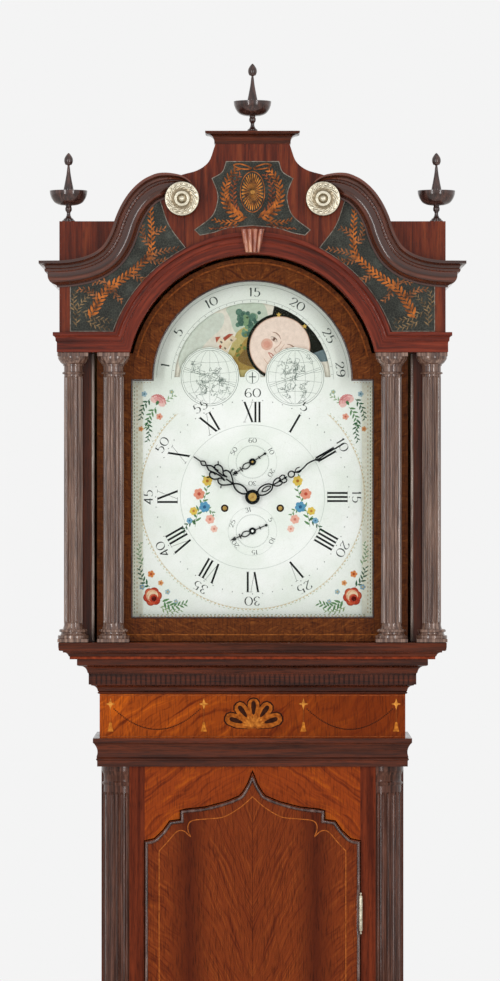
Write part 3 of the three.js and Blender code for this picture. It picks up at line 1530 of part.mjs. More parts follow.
// Lines, pulleys and weights: each line leaves its barrel, passes under the pulley and ends at the seat

function gutLine(x) {
  const r = lineOffset;
  const path = [
    [x - r, barrelZ], ...arcPoints(x, pulleyZ, r, Math.PI, 2 * Math.PI, curveSteps * 2), [x + r, seatTop],
  ];
  const section = Array.from({ length: lineSides }, (_, i) => {
    const angle = (2 * Math.PI * i) / lineSides;
    return [lineRadius * Math.cos(angle), lineRadius * Math.sin(angle)];
  });
  const rings = path.map(([px, pz], i) => {
    const [ax, az] = path[Math.max(i - 1, 0)];
    const [bx, bz] = path[Math.min(i + 1, path.length - 1)];
    const along = new THREE.Vector2(bx - ax, bz - az).normalize();
    return section.map(([a, b]) => [px - along.y * a, lineY + b, pz + along.x * a]);
  });
  return loft(rings, section);
}

function pulley(x) {
  const half = pulleyThickness / 2;
  const rim = pulleyThickness / 5;
  const bore = axleRadius + gap;
  const profile = [
    [bore, lineY - half], [pulleyRadius, lineY - half], [pulleyRadius, lineY - half + rim],
    [drumRadius, lineY - lineRadius - gap], [drumRadius, lineY + lineRadius + gap],
    [pulleyRadius, lineY + half - rim], [pulleyRadius, lineY + half], [bore, lineY + half],
    [bore, lineY - half],
  ];
  return spindle(profile, x, pulleyZ, roundSides);
}

function weight(x) {
  const r = weightRadius;
  const chamfer = stirrupThickness;
  const body = turned([
    [0, 0], [r - chamfer, 0], [r, chamfer], [r, weightHeight - chamfer], [r - chamfer, weightHeight],
    [0, weightHeight],
  ], x, lineY, weightFloor);
  const inner = pulleyThickness / 2 + runGap;
  const outer = inner + stirrupThickness;
  const half = stirrupWidth / 2;
  const bridgeTop = pulleyZ - pulleyRadius - stirrupThickness;
  const bridge = box(
    x - half, x + half, lineY - outer, lineY + outer, bridgeTop - stirrupThickness, bridgeTop
  );
  const cheek = (near, far) => box(
    x - half, x + half, lineY + near, lineY + far, bridgeTop - stirrupThickness, pulleyZ + half
  );
  const hook = box(
    x - half / 2, x + half / 2, lineY - half / 2, lineY + half / 2, weightTop - overrun,
    bridgeTop - stirrupThickness / 2
  );
  const axle = rod(axleRadius, x, pulleyZ, lineY - outer, lineY + outer);
  return join(body, bridge, cheek(-outer, -inner), cheek(inner, outer), hook, axle);
}

for (const [name, side] of [['going', 1], ['strike', -1]]) {
  add(`weight_${name}`, weight(side * barrelSpan), brass);
  add(`pulley_${name}`, pulley(side * barrelSpan), brass);
  add(`line_${name}`, gutLine(side * barrelSpan), gut);
}

export default clock;
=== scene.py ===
"""Looks of the longcase clock: mahogany case, fluted columns, swan-neck hood, painted moon dial.

Shapes are worked out in millimetres, x to the right, y to the back, z up, and go into the
meshes in metres. Angles on the dial are counted clockwise from twelve, in degrees.
"""

import math

import bmesh
import bpy
import numpy as np
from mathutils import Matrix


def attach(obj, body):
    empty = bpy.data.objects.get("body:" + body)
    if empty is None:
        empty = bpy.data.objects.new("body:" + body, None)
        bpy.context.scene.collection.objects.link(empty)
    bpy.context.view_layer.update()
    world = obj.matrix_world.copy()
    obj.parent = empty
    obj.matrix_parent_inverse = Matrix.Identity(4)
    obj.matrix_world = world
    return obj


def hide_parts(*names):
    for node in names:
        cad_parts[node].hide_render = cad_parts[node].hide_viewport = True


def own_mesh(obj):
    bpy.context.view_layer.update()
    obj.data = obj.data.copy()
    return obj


bl_info = {
    "name": "Longcase clock",
    "version": (1, 0, 0),
    "blender": (4, 5, 0),
    "location": "View3D > Sidebar > Clock",
    "description": "Dresses the solids of a longcase clock with mouldings, inlay, paint and polish",
    "category": "Object",
}

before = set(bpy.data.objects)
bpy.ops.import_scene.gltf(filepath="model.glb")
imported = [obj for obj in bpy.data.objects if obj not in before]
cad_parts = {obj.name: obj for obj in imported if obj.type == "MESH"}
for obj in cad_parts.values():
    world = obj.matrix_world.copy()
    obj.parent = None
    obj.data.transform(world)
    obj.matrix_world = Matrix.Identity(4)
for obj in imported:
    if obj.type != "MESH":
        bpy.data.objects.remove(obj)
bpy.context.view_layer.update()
MM = 0.001
BACK = 150.0  # y of the case's back, where all that runs along its sides ends
BASE_FACE, TRUNK_FACE, DOOR_FACE = -105.0, -65.6, -70.0
HOOD_FACE, HOOD_DOOR_FACE, DIAL_FACE, MOON_FACE = -121.0, -77.7, -42.0, -36.6
DOOR_HALF, HOOD_HALF, ARCH_RADIUS = 156.8, 279.4, 181.5
ENTABLATURE_Z, ENTABLATURE_TOP, NECK_Z, BOARD_TOP, CAP_FOOT = 1981, 2010.3, 2093.6, 2170.6, 2282.6
HANDS_Z, ARCH_Z, HUMP_Z, SECONDS_Z, DATE_Z = 1771.5, 1941.2, 1946.7, 1822.8, 1721.8
ROSETTE_X, ROSETTE_Z, WINDING_X, WINDING_Z = 101.9, 2202.2, 40.6, 1755.1
TRUNK_HALF, DENTIL_Z, HINGES = 222.7, 1498.6, (("upper", 1165.5), ("lower", 804.6))
MOON_RADIUS, NIGHT = 114.6, "#16170f"
PULLEY_REACH, PULLEY_Z, LINE_Y = 23.1, 566, 23
SIDES = (("left", -1), ("right", 1))


def linear(colour):
    """An sRGB hex colour as linear values with full alpha."""
    value = np.array([int(colour[i:i + 2], 16) for i in (1, 3, 5)]) / 255
    return (*np.where(value <= 0.04045, value / 12.92, ((value + 0.055) / 1.055) ** 2.4).tolist(), 1.0)


# Sizes and colours that a user may change


class ClockSizes(bpy.types.PropertyGroup):
    """Sizes of the work that the solids leave out."""
    dentil_pitch: bpy.props.FloatProperty(
        name="Dentil pitch", description="From one dentil to the next", default=0.0072, unit="LENGTH")
    dentil_width: bpy.props.FloatProperty(
        name="Dentil width", description="Face of one dentil", default=0.0046, unit="LENGTH")
    dentil_proud: bpy.props.FloatProperty(
        name="Dentil depth", description="How far a dentil stands before its band", default=0.0034,
        unit="LENGTH")
    bead_width: bpy.props.FloatProperty(
        name="Door bead width", description="Half-round bead along the trunk door's edge", default=0.0046,
        unit="LENGTH")
    bead_proud: bpy.props.FloatProperty(
        name="Door bead height", description="How far that bead stands before the door", default=0.003,
        unit="LENGTH")
    string_width: bpy.props.FloatProperty(
        name="Stringing", description="Width of a boxwood line let into the veneer", default=0.0014,
        unit="LENGTH")
    inlay_proud: bpy.props.FloatProperty(
        name="Inlay height", description="How far inlay stands before the veneer", default=0.00015,
        unit="LENGTH")
    flute_depth: bpy.props.FloatProperty(
        name="Flute depth", description="Depth of a hood column's flute", default=0.0022, unit="LENGTH")
    quarter_flute_depth: bpy.props.FloatProperty(
        name="Quarter flute depth", description="Depth of a trunk column's flute", default=0.0026,
        unit="LENGTH")
    pellet_pitch: bpy.props.FloatProperty(
        name="Pellet pitch", description="From one carved pellet of the swan neck to the next",
        default=0.0052, unit="LENGTH")
    leaf_length: bpy.props.FloatProperty(
        name="Gilt leaf", description="Longest leaf of the gilt sprays", default=0.0112, unit="LENGTH")
    paint_coat: bpy.props.FloatProperty(
        name="Coat of paint", description="Thickness of one layer of the dial's painting", default=0.00005,
        unit="LENGTH")
    numeral_foot: bpy.props.FloatProperty(
        name="Numerals' foot", description="Radius at the foot of the hour numerals", default=0.1095,
        unit="LENGTH")
    numeral_top: bpy.props.FloatProperty(
        name="Numerals' top", description="Radius at the top of the hour numerals", default=0.1388,
        unit="LENGTH")
    minute_foot: bpy.props.FloatProperty(
        name="Minute numbers", description="Radius at the foot of the minute numbers", default=0.1458,
        unit="LENGTH")
    minute_height: bpy.props.FloatProperty(
        name="Minute number height", description="Height of a minute number", default=0.0128, unit="LENGTH")
    hand_pen: bpy.props.FloatProperty(
        name="Hand scroll", description="Width of the pierced scrolls of the hands", default=0.0022,
        unit="LENGTH")
    nail_radius: bpy.props.FloatProperty(
        name="Nail head", description="Radius of a nail head in the backboard", default=0.003, unit="LENGTH")


class ClockColours(bpy.types.PropertyGroup):
    """Colours of the finishes, as the eye meets them in plain light."""
    mahogany: bpy.props.FloatVectorProperty(
        name="Mahogany", description="Polished mouldings", default=linear("#4e2415"), size=4, subtype="COLOR")
    mahogany_dark: bpy.props.FloatVectorProperty(
        name="Dark streaks", description="Dark grain of the mouldings", default=linear("#36180e"), size=4,
        subtype="COLOR")
    mahogany_light: bpy.props.FloatVectorProperty(
        name="Light streaks", description="Light grain of the mouldings", default=linear("#612b17"), size=4,
        subtype="COLOR")
    flame: bpy.props.FloatVectorProperty(
        name="Flame veneer", description="Ground of the figured veneers", default=linear("#753214"), size=4,
        subtype="COLOR")
    flame_light: bpy.props.FloatVectorProperty(
        name="Lustre", description="Bright fibres of the figured veneers", default=linear("#a84f14"), size=4,
        subtype="COLOR")
    # The columns' colour is lifted above the wood's own, partly as painted sheen.
    column: bpy.props.FloatVectorProperty(
        name="Columns", description="Old dark polish of the hood's columns", default=linear("#6c5043"),
        size=4, subtype="COLOR")
    ebonised: bpy.props.FloatVectorProperty(
        name="Ebonised panel", description="Blackened ground of the gilt panels", default=linear("#262823"),
        size=4, subtype="COLOR")
    gilt: bpy.props.FloatVectorProperty(
        name="Gilt foliage", description="Orange-gold of the sprays", default=linear("#c06a25"), size=4,
        subtype="COLOR")
    boxwood: bpy.props.FloatVectorProperty(
        name="Boxwood", description="Stringing and stars", default=linear("#e89c42"), size=4, subtype="COLOR")
    dial: bpy.props.FloatVectorProperty(
        name="Dial ground", description="Cool white of the painted dial", default=linear("#f7fcf8"), size=4,
        subtype="COLOR")
    brass: bpy.props.FloatVectorProperty(
        name="Brass", description="Lacquered brass of the movement", default=linear("#c9a962"), size=4,
        subtype="COLOR")
    pale_brass: bpy.props.FloatVectorProperty(
        name="Pale brass", description="Worn brass of rosettes and hinges", default=linear("#cfc8b4"), size=4,
        subtype="COLOR")
    blued: bpy.props.FloatVectorProperty(
        name="Blued steel", description="Nearly black steel of the hands", default=linear("#121417"), size=4,
        subtype="COLOR")
    pine: bpy.props.FloatVectorProperty(
        name="Pine", description="Bare boards at the back", default=linear("#8f6f48"), size=4,
        subtype="COLOR")


def size(name):
    """A size of the panel in millimetres."""
    return getattr(bpy.context.scene.clock_sizes, name) / MM


def colour(name):
    """A colour of the panel, linear with alpha."""
    return tuple(getattr(bpy.context.scene.clock_colours, name))


# Curves in a plane


def soft(points, steps=6, closed=False):
    """Catmull-Rom curve through the points: each span is the cubic set by its four nearest points."""
    p = np.asarray(points, float)
    if closed:
        p = np.concatenate([p[-1:], p, p[:2]])
    else:
        p = np.concatenate([2 * p[:1] - p[1:2], p, 2 * p[-1:] - p[-2:-1]])
    t = np.linspace(0, 1, steps, endpoint=False)[None, :, None]
    a, b, c, d = (p[i:len(p) - 3 + i][:, None] for i in range(4))
    curve = 0.5 * (2 * b + (c - a) * t + (2 * a - 5 * b + 4 * c - d) * t**2 + (3 * b - a - 3 * c + d) * t**3)
    curve = curve.reshape(-1, p.shape[1])
    return curve if closed else np.concatenate([curve, p[-2:-1]])


def arc(x, z, radius, start, end, steps=32):
    """Circle arc: x + r cos a, z + r sin a, with the angle in degrees from the x axis."""
    a = np.radians(np.linspace(start, end, steps + 1))
    return np.column_stack([x + radius * np.cos(a), z + radius * np.sin(a)])


def polar(x, z, radius, clock):
    """Points at radii and clock angles: x + r sin c, z + r cos c."""
    c = np.radians(clock)
    return np.column_stack(np.broadcast_arrays(x + radius * np.sin(c), z + radius * np.cos(c)))


def turned(path, x, z, clock):
    """A path about its own origin, turned clockwise and moved to (x, z)."""
    c, s = math.cos(math.radians(clock)), math.sin(math.radians(clock))
    u, v = np.asarray(path, float).T
    return np.column_stack([x + u * c + v * s, z + v * c - u * s])


def profile(*marks):
    """Closed section from marks (out, up, bulge): each span to the next mark is a parabola whose rise is
    bulge times the span, outwards where positive."""
    marks = [(*mark, 0)[:3] for mark in marks]
    spans = []
    for (a, b, bulge), (c, d, _) in zip(marks, marks[1:] + marks[:1]):
        t = np.linspace(0, 1, 2 if bulge == 0 else 9)[:-1]
        rise = bulge * 4 * t * (1 - t)
        spans.append(np.column_stack([a + (c - a) * t + (d - b) * rise, b + (d - b) * t - (c - a) * rise]))
    return np.concatenate(spans)


def mitres(path, closed=False):
    """Vectors to the left of a path, lengthened at its corners so that an offset keeps its width."""
    ahead = np.roll(path, -1, 0) - path
    if not closed:
        ahead[-1] = ahead[-2]
    ahead /= np.linalg.norm(ahead, axis=1, keepdims=True) + 1e-12
    behind = np.roll(ahead, 1, 0)
    if not closed:
        behind[0] = ahead[0]
    both = ahead + behind
    left = np.column_stack([-both[:, 1], both[:, 0]])
    return 2 * left / np.maximum((left**2).sum(1, keepdims=True), 0.8)


def mirror(path):
    """A path turned over from one side of the clock to the other."""
    return np.asarray(path) * [-1, 1]


def both_sides(half):
    """A half outline, from the middle outwards, and its mirror image as one closed path."""
    half = np.asarray(half, float)
    return np.concatenate([half, mirror(half)[::-1]])


def lengths(path):
    """Distance along a path at each of its points."""
    return np.concatenate([[0], np.cumsum(np.linalg.norm(np.diff(path, axis=0), axis=1))])


def point_at(path, at):
    """Points of a path at those distances along it."""
    far = lengths(path)
    return np.column_stack([np.interp(at, far, path[:, k]) for k in (0, 1)])


# Surfaces: each is an array of points and a list of face arrays


def grid(points, wrap_u=False):
    """Quads between the neighbours of a grid of points with rows u and columns v; each row is a loop."""
    rows, columns = points.shape[:2]
    u, v = np.meshgrid(np.arange(rows - (not wrap_u)), np.arange(columns), indexing="ij")
    w, x = (u + 1) % rows, (v + 1) % columns
    faces = np.stack([u * columns + v, w * columns + v, w * columns + x, u * columns + x], -1)
    return points.reshape(-1, 3), [faces.reshape(-1, 4)]


def capped(rings, closed=False):
    """A tube through rings of points, with a flat face at each end unless it closes on itself."""
    points, faces = grid(rings, wrap_u=closed)
    if not closed:
        around = np.arange(rings.shape[1])
        faces += [around[None, ::-1], (len(points) - rings.shape[1] + around)[None]]
    return points, faces


def merge(*skins):
    """One surface of several: their points in a row, with the faces' numbers moved on."""
    points, faces, base = [], [], 0
    for places, blocks in skins:
        points.append(places)
        faces.extend(block + base for block in blocks)
        base += len(places)
    return np.concatenate(points), faces


def reflected(skin):
    """A surface turned over from one side of the clock to the other."""
    return skin[0] * [-1, 1, 1], skin[1]


def sweep(section, origin, out, up, closed=False):
    """A section carried along stations: origin + out times its first value + up times its second."""
    origin, out, up = (np.asarray(a, float)[:, None] for a in (origin, out, up))
    return capped(origin + out * section[None, :, :1] + up * section[None, :, 1:], closed)


def wrapped(section, half, face, foot):
    """A section mitred round the front and both sides, ending flat at the back."""
    origin = [[-half, BACK, foot], [-half, face, foot], [half, face, foot], [half, BACK, foot]]
    out = [[-1, 0, 0], [-1, -1, 0], [1, -1, 0], [1, 0, 0]]
    return sweep(section, origin, out, [[0, 0, 1]] * 4)


def upright(path, y):
    """A path in x and z, stood at a depth or at a depth for each point."""
    path = np.asarray(path, float)
    return np.column_stack([path[:, 0], np.broadcast_to(y, len(path)), path[:, 1]])


def prism(outline, front, rear):
    """An outline in x and z, straight from one y to the other."""
    return capped(np.stack([upright(outline, front), upright(outline, rear)]))


def stroke(path, width, front, rear, closed=False):
    """A path in x and z given a width and a thickness: a rectangle carried along it."""
    path = np.asarray(path, float)
    side = mitres(path, closed) * (np.asarray(width, float).reshape(-1, 1) / 2)
    corners = ((side, front), (-side, front), (-side, rear), (side, rear))
    return capped(np.stack([upright(path + off, y) for off, y in corners], 1), closed)


def half_round(path, face, width, height, steps, rise=1.0):
    """A closed bead: a half ellipse of that width and height, carried along a path before a face, and lowered
    to the share rise where something stands on it."""
    a = np.linspace(0, np.pi, steps)
    flat = np.zeros_like(path)
    return sweep(np.column_stack([width / 2 * np.cos(a), height * np.sin(a)]), upright(path, face),
                 upright(mitres(path, True), 0), upright(flat, -rise), closed=True)


def bar(width, low, high):
    """Corners of an upright bar centred on its line."""
    return np.array([(-width / 2, low), (width / 2, low), (width / 2, high), (-width / 2, high)])


def stamps(outline, places, turns, scales, front, rear):
    """Copies of an outline, each turned clockwise, scaled and moved: place + scale times turn times outline.
    Eight fronts a few microns apart follow one another, so that copies that overlap never share a plane."""
    outline, places = np.asarray(outline, float), np.asarray(places, float)
    count, corners = len(places), len(outline)
    turns = np.radians(np.broadcast_to(turns, count))[:, None]
    scales = np.broadcast_to(scales, count)[:, None]
    x = places[:, :1] + scales * (outline[:, 0] * np.cos(turns) + outline[:, 1] * np.sin(turns))
    z = places[:, 1:] + scales * (outline[:, 1] * np.cos(turns) - outline[:, 0] * np.sin(turns))
    step = (np.arange(count) % 8)[:, None] * 0.004
    points = np.stack([np.stack([x, y + np.zeros_like(x), z], -1) for y in (front - step, rear)], 1)
    points = points.reshape(-1, 3)
    base = (np.arange(count) * 2 * corners)[:, None]
    k = np.arange(corners)
    sides = np.stack([k, (k + 1) % corners, (k + 1) % corners + corners, k + corners], -1)
    return points, [(base[:, :, None] + sides).reshape(-1, 4), base + k, base + k[::-1] + corners]


def lathe(section, x, y, z, sides=48, lying=False):
    """A section (radius, height) turned about an upright axis, or about one from front to back."""
    a = np.linspace(0, 2 * np.pi, sides, endpoint=False)
    r, h = np.asarray(section, float).T
    u, v = r[:, None] * np.cos(a), r[:, None] * np.sin(a)
    w = np.broadcast_to(h[:, None], u.shape)
    return grid(np.stack([x + u, y + w, z + v] if lying else [x + u, y + v, z + w], -1))


def block(x0, x1, y0, y1, z0, z1, ease=0.6):
    """A box whose upper and lower arrises are eased."""
    def ring(inset, z):
        """The box's outline at a height."""
        return [[x0 + inset, y0 + inset, z], [x1 - inset, y0 + inset, z], [x1 - inset, y1 - inset, z],
                [x0 + inset, y1 - inset, z]]
    return capped(np.array([ring(ease, z0), ring(0, z0 + ease), ring(0, z1 - ease), ring(ease, z1)]))


def ring_flat(x, z, radius, width, front, rear, steps=96):
    """A flat ring about a point, by the radius at the middle of its width."""
    return stroke(arc(x, z, radius, 0, 360, steps)[:-1], width, front, rear, True)


def disc(x, z, radius, front, rear, steps=40):
    """A flat round plate about a point."""
    return prism(arc(x, z, radius, 0, 360, steps)[:-1], front, rear)


def piece(name, skin, body, material, replaces=(), angle=35.0, tint=None, flow=None):
    """Makes a mesh of a surface, closes its seams, turns its faces outwards and puts it on its body."""
    points, faces = skin
    mesh = bpy.data.meshes.new(name)
    mesh.from_pydata((points * MM).tolist(), [], [face for part in faces for face in part.tolist()])
    if tint is not None:
        mesh.color_attributes.new("tint", "FLOAT_COLOR", "POINT").data.foreach_set(
            "color", np.asarray(tint, np.float32).ravel())
    if flow is not None:
        mesh.attributes.new("flow", "FLOAT_VECTOR", "POINT").data.foreach_set(
            "vector", np.asarray(flow, np.float32).ravel())
    shell = bmesh.new()
    shell.from_mesh(mesh)
    bmesh.ops.remove_doubles(shell, verts=shell.verts, dist=1e-6)
    bmesh.ops.recalc_face_normals(shell, faces=shell.faces)
    shell.to_mesh(mesh)
    shell.free()
    mesh.polygons.foreach_set("use_smooth", np.ones(len(mesh.polygons), bool))
    mesh.set_sharp_from_angle(angle=math.radians(angle))
    mesh.materials.append(material)
    made = bpy.data.objects.new(name, mesh)
    bpy.context.scene.collection.objects.link(made)
    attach(made, body)
    if replaces:
        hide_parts(*replaces)
    return made


def painted(name, layers, body, material):
    """One piece of many painted or inlaid shapes, each a (surface, colour) pair."""
    skin = merge(*[surface for surface, _ in layers])
    tint = np.concatenate([np.tile(linear(paint) if isinstance(paint, str) else paint, (len(surface[0]), 1))
                           for surface, paint in layers])
    return piece(name, skin, body, material, tint=tint)


def run_of(rings):
    """Distance along the run and round the section of each point of a tube, in millimetres."""
    along = lengths(rings.mean(1))
    around = lengths(rings[0])
    return np.stack(np.broadcast_arrays(along[:, None], around[None, :], 0.0), -1).reshape(-1, 3)


def dress(material, *names):
    """Gives nodes of the frame a better finish."""
    for name in names:
        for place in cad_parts[name].material_slots:
            place.material = material


# Materials


def wire(tree, target, inputs):
    """Fills a node's sockets, given by name or in their order: a socket or a node's first output is linked,
    anything else is a value."""
    for socket, source in (inputs if isinstance(inputs, dict) else dict(enumerate(inputs))).items():
        if isinstance(source, bpy.types.Node):
            source = source.outputs[0]
        if isinstance(source, bpy.types.NodeSocket):
            tree.links.new(source, target.inputs[socket])
        else:
            target.inputs[socket].default_value = linear(source) if isinstance(source, str) else source


def node(tree, kind, inputs=(), stops=(), **settings):
    """Adds a shader node with its settings, its sockets filled, and any ramp's stops."""
    made = tree.nodes.new(f"ShaderNode{kind}")
    for name, value in settings.items():
        setattr(made, name, value)
    wire(tree, made, inputs)
    for _ in stops[2:]:
        made.color_ramp.elements.new(1.0)
    for place, (position, shade) in enumerate(stops):
        made.color_ramp.elements[place].position = position
        made.color_ramp.elements[place].color = linear(shade) if isinstance(shade, str) else shade
    return made


def new_material(name, **values):
    """A material of one Principled shader; the values are its sockets, underscores for spaces."""
    made = bpy.data.materials.new(name)
    made.use_nodes = True
    shader = made.node_tree.nodes["Principled BSDF"]
    for socket, value in values.items():
        shader.inputs[socket.replace("_", " ")].default_value = value
    return made, made.node_tree, shader


def kept(make):
    """A material is made when it is first asked for, under its function's name."""
    def once():
        """The material of that name, made if there is none."""
        return bpy.data.materials.get(make.__name__) or make(make.__name__)
    return once


POLISH = {"Specular_IOR_Level": 0.15, "Coat_Weight": 0.12, "Coat_Roughness": 0.05}
WAXED = {"Specular_IOR_Level": 0.07}
GLOSSY = {"Specular_IOR_Level": 0.4, "Coat_Weight": 0.5, "Coat_Roughness": 0.04}
# Real pores are narrower: these are as coarse as it takes for the render to show them
PORE_LENGTH, PORE_WIDTH, PORE_DEPTH = 18.0, 1.1, 0.00008
STILE_TONES = ((0.35, "#4d1d10"), (0.65, "#733019"))


def drawn(unit, grain, run, width):
    """Scales that draw noise out to streaks of that run and width, along the axes named in grain."""
    return [unit / (run if axis in grain else width) for axis in "xyz"]


def veneer_finish(tree, shader, shade, place, unit, grain):
    """Pores and polish over a wood's colour: fine lines along the grain that darken the colour, dull the
    polish and dent it."""
    thin = node(tree, "Mapping", {"Scale": drawn(unit, grain, PORE_LENGTH, PORE_WIDTH), "Vector": place})
    pores = node(tree, "TexNoise", {"Scale": 1.0, "Detail": 2.0, "Vector": thin})
    dark = node(tree, "ValToRGB", {"Fac": pores}, [(0.32, "#a29a96"), (0.5, "#ffffff")])
    mixed = node(tree, "Mix", {0: 0.75, 6: shade, 7: dark}, data_type="RGBA", blend_type="MULTIPLY")
    dull = node(tree, "MapRange", {"Value": pores, "From Min": 0.3, "From Max": 0.6, "To Min": 0.34,
                                   "To Max": 0.17})
    dent = node(tree, "Bump", {"Height": pores, "Distance": PORE_DEPTH, "Strength": 0.5})
    wire(tree, shader, {"Base Color": mixed.outputs[2], "Roughness": dull, "Normal": dent})


def straight_wood(name, tones, grain, width=7.0, run=170.0, wild=0.7, flow=False, polish=POLISH):
    """Straight-grained wood: noise drawn out to streaks of that width and run in mm, the axes in grain
    being those along which the streaks run."""
    made, tree, shader = new_material(name, **polish)
    if flow:
        place, unit = node(tree, "Attribute", attribute_name="flow").outputs["Vector"], 1.0
    else:
        place, unit = node(tree, "TexCoord").outputs["Object"], 1 / MM
    long = node(tree, "Mapping", {"Scale": drawn(unit, grain, run, width), "Vector": place})
    streaks = node(tree, "TexNoise", {"Scale": 1.0, "Detail": 5.0, "Roughness": 0.62, "Distortion": wild,
                                      "Vector": long})
    shade = node(tree, "ValToRGB", {"Fac": streaks}, list(zip((0.36, 0.5, 0.64), tones)))
    veneer_finish(tree, shader, shade, place, unit, grain)
    return made


def figured_wood(name, tones, slope, run, wild, sag=0.0, width=15.0, fold=True, plume=None, stile=None):
    """Figured veneer, book-matched on the middle. The figure's lines rise as slope times |x| plus sag times
    x squared, and noise drawn out along them gives dark and bright bands. The plume is the (place, half
    width, colour) of a dark feather on each side, the stile the |x| past which plain dark wood frames it."""
    made, tree, shader = new_material(name, **WAXED)
    place = node(tree, "TexCoord").outputs["Object"]
    axes = node(tree, "SeparateXYZ", [place])
    x, z = (node(tree, "Math", (axes.outputs[axis], 1 / MM), operation="MULTIPLY") for axis in "XZ")
    side = node(tree, "Math", [x], operation="ABSOLUTE") if fold else x
    square = node(tree, "Math", (side, side), operation="MULTIPLY")
    lean = node(tree, "Math", (side, slope), operation="MULTIPLY")
    rise = node(tree, "Math", (square, sag, lean), operation="MULTIPLY_ADD")
    level = node(tree, "Math", (z, rise), operation="SUBTRACT")
    drift = node(tree, "TexNoise", {"Scale": 1 / 70.0, "Detail": 2.0,
                                    "Vector": node(tree, "CombineXYZ", (side, z))})
    bent = node(tree, "Math", (drift, 42.0, level), operation="MULTIPLY_ADD")
    along = node(tree, "Math", (side, run), operation="DIVIDE")
    across = node(tree, "Math", (bent, width), operation="DIVIDE")
    bands = node(tree, "TexNoise", {"Scale": 1.0, "Detail": 4.0, "Roughness": 0.58, "Distortion": wild,
                                    "Vector": node(tree, "CombineXYZ", (along, across))})
    shade = node(tree, "ValToRGB", {"Fac": bands},
                 [(0.34, tones[0]), (0.47, tones[1]), (0.54, tones[1]), (0.68, tones[2])])
    if plume:
        off = node(tree, "Math", (side, plume[0]), operation="SUBTRACT")
        near = node(tree, "Math", [off], operation="ABSOLUTE")
        frayed = node(tree, "Math", (bands, -34.0, near), operation="MULTIPLY_ADD")
        dark = node(tree, "MapRange", {"Value": frayed, "From Min": -17.0, "From Max": plume[1] - 17.0,
                                       "To Min": 0.85, "To Max": 0.0})
        shade = node(tree, "Mix", {0: dark, 6: shade, 7: plume[2]}, data_type="RGBA").outputs[2]
    if stile:
        framed = node(tree, "Math", (side, stile), operation="GREATER_THAN")
        long = node(tree, "Mapping", {"Scale": drawn(1 / MM, "z", 190, 6), "Vector": place})
        streaks = node(tree, "TexNoise", {"Scale": 1.0, "Detail": 5.0, "Vector": long})
        plain = node(tree, "ValToRGB", {"Fac": streaks}, STILE_TONES)
        shade = node(tree, "Mix", {0: framed, 6: shade, 7: plain}, data_type="RGBA").outputs[2]
    veneer_finish(tree, shader, shade, place, 1 / MM, "z")
    return made


def mouldings_tones():
    """Dark, middle and light streaks of the mouldings."""
    return colour("mahogany_dark"), colour("mahogany"), colour("mahogany_light")


@kept
def moulding_mahogany(name):
    """Dark red-brown polish with long streaks that follow the run of the mouldings."""
    return straight_wood(name, mouldings_tones(), "xy", wild=0.25)


@kept
def swept_mahogany(name):
    """The same wood on the swan necks, its streaks bending with the moulding, its polish brighter."""
    return straight_wood(name, (colour("mahogany_dark"), "#472214", "#6a3320"), "x", flow=True, polish=GLOSSY)


@kept
def arch_mahogany(name):
    """Redder, calmer wood of the arch moulding, its streaks running round the arch."""
    return straight_wood(name, ("#42180f", "#662517", "#7f3320"), "x", flow=True, wild=0.3)


@kept
def quarter_column_wood(name):
    """Browner, less glossy polish of the trunk's quarter columns."""
    return straight_wood(name, ("#2c1811", "#4c2d22", "#694436"), "z", width=4.0, run=120.0, wild=0.4)


@kept
def finial_wood(name):
    """Nearly black old polish of the turned finials and the sight bead."""
    return straight_wood(name, ("#271713", "#3d2621", "#573a32"), "z", width=4.0, run=60.0, wild=0.3,
                         polish=GLOSSY)


@kept
def upright_mahogany(name):
    """Quieter boards of the hood's and trunk's sides, with the grain upright."""
    return straight_wood(name, mouldings_tones(), "z", width=11.0, run=240.0)


@kept
def pediment_mahogany(name):
    """Red-brown pediment board: upright grain a little redder and brighter than the mouldings."""
    return straight_wood(name, ("#47190e", "#642716", "#78361d"), "z", width=7.0, run=150.0, wild=0.5)


@kept
def dark_column_wood(name):
    """Old dark polish of the hood's columns, lightened and greyed partly by wear and partly as painted sheen.
    """
    return straight_wood(name, ("#48312a", colour("column"), "#967a6b"), "z", width=4.0, run=120.0, wild=0.4,
                         polish=GLOSSY)


@kept
def keystone_reeds(name):
    """Polished reeds of the keystone, painted paler than what surrounds them as a highlight."""
    return straight_wood(name, ("#5f2a1a", "#9a4f35", "#cb9474"), "z", width=5.0, run=60.0, wild=0.3,
                         polish=GLOSSY)


@kept
def worn_bead(name):
    """Dark bead streaked with grey, partly polish worn along its crown and partly painted sheen."""
    return straight_wood(name, ("#2c1610", "#472820", "#6f554c"), "z", width=9.0, run=60.0, wild=0.5,
                         polish=GLOSSY)


@kept
def worn_edge(name):
    """Rounded edge beside the hood door, coloured pale as a painted highlight along it."""
    return straight_wood(name, ("#5f4a40", "#8c786b", "#b3a497"), "z", width=5.0, run=90.0, wild=0.4,
                         polish=GLOSSY)


@kept
def door_flame(name):
    """Book-matched crotch mahogany of the trunk door: feathers that rise from dark plumes on each side."""
    return figured_wood(name, ("#5e240f", colour("flame"), "#8b421a"), 2.6, 60.0, 2.3, sag=-0.006,
                        plume=(92.0, 30.0, "#47190c"))


@kept
def spandrel_flame(name):
    """Orange figure over the trunk door's arch between plain dark stiles."""
    return figured_wood(name, ("#6b290f", "#8b3a13", colour("flame_light")), -0.42, 90.0, 1.6, sag=-0.001,
                        stile=157.0)


@kept
def frieze_flame(name):
    """Bright orange flame veneer of the frieze, its bands leaning away from the middle."""
    return figured_wood(name, ("#6a2709", "#a14811", "#c65f14"), 0.75, 70.0, 1.6, width=21.0, fold=False,
                        plume=(170.0, 400.0, "#6a2709"))


